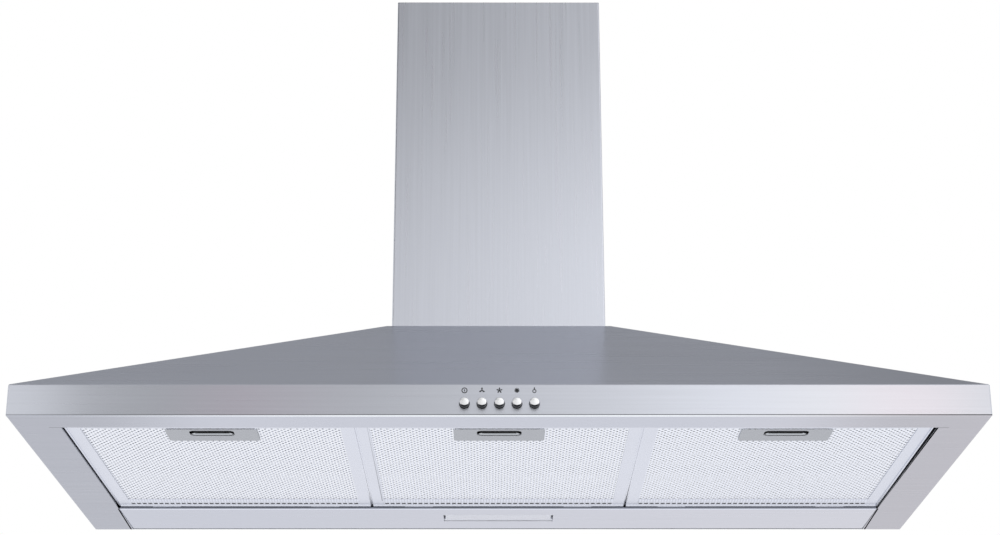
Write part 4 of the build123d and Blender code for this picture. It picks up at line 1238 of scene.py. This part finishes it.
class Studio(bpy.types.Operator):
    """Set up the floor, the light, the cards that the metal reflects, and the camera"""

    bl_idname = "hood.studio"
    bl_label = "Studio"

    def execute(self, context):
        self.floor(context)
        self.world(context)
        self.lamps(context)
        self.cards()
        self.camera(context)
        context.scene.view_settings.view_transform = "Standard"
        return {"FINISHED"}

    def seen(self, tree):
        """1 for rays from the camera, from gloss and through glass, which see a white studio."""
        path = add_node(tree, "LightPath").outputs
        seen = path["Is Camera Ray"]
        for other in ("Is Glossy Ray", "Is Transmission Ray"):
            seen = add_node(tree, "Math", (seen, path[other]), operation="MAXIMUM")
        return seen

    def floor(self, context):
        """A matt floor, which is seen white but for the hood's shadow on it."""
        width, drop = 30.0, 1.6
        deselect()
        bpy.ops.mesh.primitive_plane_add(size=width, location=(0, 0, -drop))
        floor = bpy.context.object
        floor.name = "studio_floor"
        colour = context.scene.hood_colours.floor
        finish, tree, shader, place = new_finish("matt_floor_paint", colour, 0.0, 0.9)
        speckle = soft_marks(tree, place, (30.0, 30.0, 30.0))
        wear_in(tree, shader, speckle, (tint(colour, 0.985), colour), (0.85, 0.95))
        shown = add_node(tree, "Math", (self.seen(tree), 0.8), operation="MULTIPLY")
        gloss = add_node(tree, "LightPath").outputs["Is Glossy Ray"]
        ends = {0: gloss, 6: WHITE, 7: (1.03, 1.035, 1.08, 1.0)}
        cool = add_node(tree, "Mix", ends, data_type="RGBA").outputs[2]
        white = add_node(tree, "Emission", {"Color": cool, "Strength": 1.0})
        share = add_node(tree, "Math", (shown, gloss), operation="MAXIMUM")
        mixed = add_node(tree, "MixShader", (share, shader, white))
        # clear from below, so that a camera under the floor still sees the hood's underside
        under = add_node(tree, "NewGeometry").outputs["Backfacing"]
        clear = add_node(tree, "BsdfTransparent")
        sided = add_node(tree, "MixShader", (under, mixed, clear))
        tree.links.new(sided.outputs[0], tree.nodes["Material Output"].inputs["Surface"])
        floor.data.materials.append(finish)

    def world(self, context):
        """White where it is seen, and a soft even light where it isn't."""
        world = bpy.data.worlds.new("white_studio")
        context.scene.world = world
        world.use_nodes = True
        tree = world.node_tree
        tree.nodes.clear()
        lit = add_node(tree, "Background", {"Color": WHITE, "Strength": 0.7})
        white = add_node(tree, "Background", {"Color": WHITE, "Strength": 1.0})
        mixed = add_node(tree, "MixShader", (self.seen(tree), lit, white))
        add_node(tree, "OutputWorld", {"Surface": mixed})

    def lamps(self, context):
        """Softboxes that gloss doesn't show, as the cards give the metal its reflections."""
        # name, place, the point it faces, width, height and radiance
        boxes = (
            ("overhead_softbox", (0.0, -1.5, 1.9), (0.0, -0.3, 0.0), 1.6, 0.9, 2.0),
            ("right_softbox", (1.75, -2.9, 0.75), (0.1, -0.4, -0.1), 0.8, 1.2, 1.5),
            ("left_softbox", (-2.1, -2.4, 0.5), (0.0, -0.4, -0.1), 0.6, 1.6, 1.0),
            ("rear_softbox", (0.6, 2.4, 1.4), (0.0, 0.0, 0.1), 1.4, 1.4, 1.2),
        )
        for name, place, target, width, height, radiance in boxes:
            data = bpy.data.lights.new(name, "AREA")
            data.shape = "RECTANGLE"
            data.size, data.size_y = width, height
            data.energy = radiance * math.pi * width * height
            lamp = bpy.data.objects.new(name, data)
            context.scene.collection.objects.link(lamp)
            lamp.location = place
            aim = Vector(target) - Vector(place)
            lamp.rotation_euler = aim.to_track_quat("-Z", "Y").to_euler()
            lamp.visible_glossy = False

    def cards(self):
        """Cards that only shiny metal sees, level or upright, shaded along one axis."""
        plain, cool, pink = (1.0, 1.0, 1.0), (0.975, 0.995, 1.05), (1.06, 0.97, 1.0)
        warm, cream = (1.05, 0.96, 0.935), (1.01, 0.99, 0.96)
        # name, low corner, high corner, the axis that the shades run along, how much the right
        # side is brighter than the left, and each shade's place in metres, strength and tint
        cards = (
            (
                "chimney_card", (-3.0, -5.5, 1.7), (3.0, -1.2, 1.7), 1, 1.9,
                (
                    (-5.5, 1.30, plain), (-4.3, 1.13, plain), (-3.4, 0.82, plain),
                    (-2.65, 0.40, plain), (-1.8, 0.93, plain), (-1.2, 0.74, plain),
                ),
            ),
            (
                "canopy_card", (-3.0, -1.2, 1.7), (3.0, 4.5, 1.7), 1, -0.2,
                ((-1.2, 0.74, plain), (-0.5, 0.50, cool), (0.5, 0.40, cool), (4.5, 0.37, cool)),
            ),
            (
                "lip_card", (-0.55, -0.62, -0.28), (0.55, -0.62, 0.06), 0, 0.0,
                (
                    (-0.55, 1.15, plain), (-0.463, 0.97, plain), (-0.408, 0.67, plain),
                    (-0.338, 0.60, plain), (-0.267, 0.62, pink), (-0.137, 0.70, plain),
                    (0.103, 0.99, plain), (0.243, 1.24, plain), (0.334, 1.33, cream),
                    (0.394, 1.33, warm), (0.439, 1.30, warm), (0.487, 1.20, cream),
                    (0.55, 1.13, plain),
                ),
            ),
        )
        for name, low, high, axis, lean, shades in cards:
            low, high = Vector(low), Vector(high)
            size = high - low
            # an upright card is turned up from flat, so its height starts as its own Y
            upright = size.y == 0
            height, turn = (size.z, math.pi / 2) if upright else (size.y, 0.0)
            card = block_out("plane", (low + high) / 2, (size.x, height, 1.0), turn)
            card.name = name
            card.data.materials.append(self.shaded(name, axis, lean, shades))
            card.visible_camera = card.visible_diffuse = False
            card.visible_shadow = card.visible_transmission = False

    def shaded(self, name, axis, lean, shades):
        """A card's own light, shaded along one axis, and brighter to the right by a share."""
        finish = bpy.data.materials.new(name)
        finish.use_nodes = True
        tree = finish.node_tree
        tree.nodes.clear()
        start, end = shades[0][0], shades[-1][0]
        place = add_node(tree, "TexCoord").outputs["Object"]
        spot = add_node(tree, "SeparateXYZ", (place,)).outputs
        part = add_node(tree, "MapRange", (spot[axis], start, end))
        ramp = add_node(tree, "ValToRGB", (part,))
        elements = ramp.color_ramp.elements
        for spot_along, *_ in shades[1:-1]:
            elements.new((spot_along - start) / (end - start))
        # the ramp holds half of each strength, as it stops at 1, and the light makes it up
        for element, (_, strength, hue) in zip(elements, shades):
            element.color = (*(strength * share / 2 for share in hue), 1.0)
        side = 1.5  # metres to each side over which the lean is spread
        strength = add_node(tree, "MapRange", (spot[0], -side, side, 2 - lean, 2 + lean))
        glow = add_node(tree, "Emission", {"Color": ramp, "Strength": strength})
        add_node(tree, "OutputMaterial", {"Surface": glow})
        return finish

    def camera(self, context):
        """A camera in front of the hood and below it, looking up."""
        data = bpy.data.cameras.new("front_low_camera")
        data.lens = 73.37
        data.sensor_width = 36.0
        camera = bpy.data.objects.new("front_low_camera", data)
        context.scene.collection.objects.link(camera)
        camera.location = (-0.006365, -2.236514, -0.642505)
        camera.rotation_euler = [math.radians(turn) for turn in (110.529, 0.0551, -0.2036)]
        context.scene.camera = camera


class HoodPanel(bpy.types.Panel):
    """Sizes, colours and steps of the range hood"""

    bl_idname = "VIEW3D_PT_hood"
    bl_label = "Chimney range hood"
    bl_space_type = "VIEW_3D"
    bl_region_type = "UI"
    bl_category = "Hood"

    def draw(self, context):
        for group in (context.scene.hood_sizes, context.scene.hood_colours):
            box = self.layout.box()
            for key in group.__annotations__:
                box.prop(group, key)
        for step in STEPS:
            self.layout.operator(step.bl_idname)


STEPS = (
    SheetMetal, InnerParts, LensSeals, FilterMeshes, FilterTrim, Handles, LatchSprings,
    PushButtons, Symbols, Studio,
)
CLASSES = (HoodSizes, HoodColours, *STEPS, HoodPanel)


def register():
    """Register the classes and give the scene its settings."""
    for cls in CLASSES:
        bpy.utils.register_class(cls)
    bpy.types.Scene.hood_sizes = bpy.props.PointerProperty(type=HoodSizes)
    bpy.types.Scene.hood_colours = bpy.props.PointerProperty(type=HoodColours)


def unregister():
    """Take away what register gave."""
    del bpy.types.Scene.hood_colours
    del bpy.types.Scene.hood_sizes
    for cls in reversed(CLASSES):
        bpy.utils.unregister_class(cls)


def main():
    """Build every piece and the studio."""
    register()
    bpy.ops.hood.sheet_metal()
    bpy.ops.hood.inner_parts()
    bpy.ops.hood.lens_seals()
    bpy.ops.hood.filter_meshes()
    bpy.ops.hood.filter_trim()
    bpy.ops.hood.handles()
    bpy.ops.hood.latch_springs()
    bpy.ops.hood.push_buttons()
    bpy.ops.hood.symbols()
    bpy.ops.hood.studio()


if __name__ == "__main__":
    main()
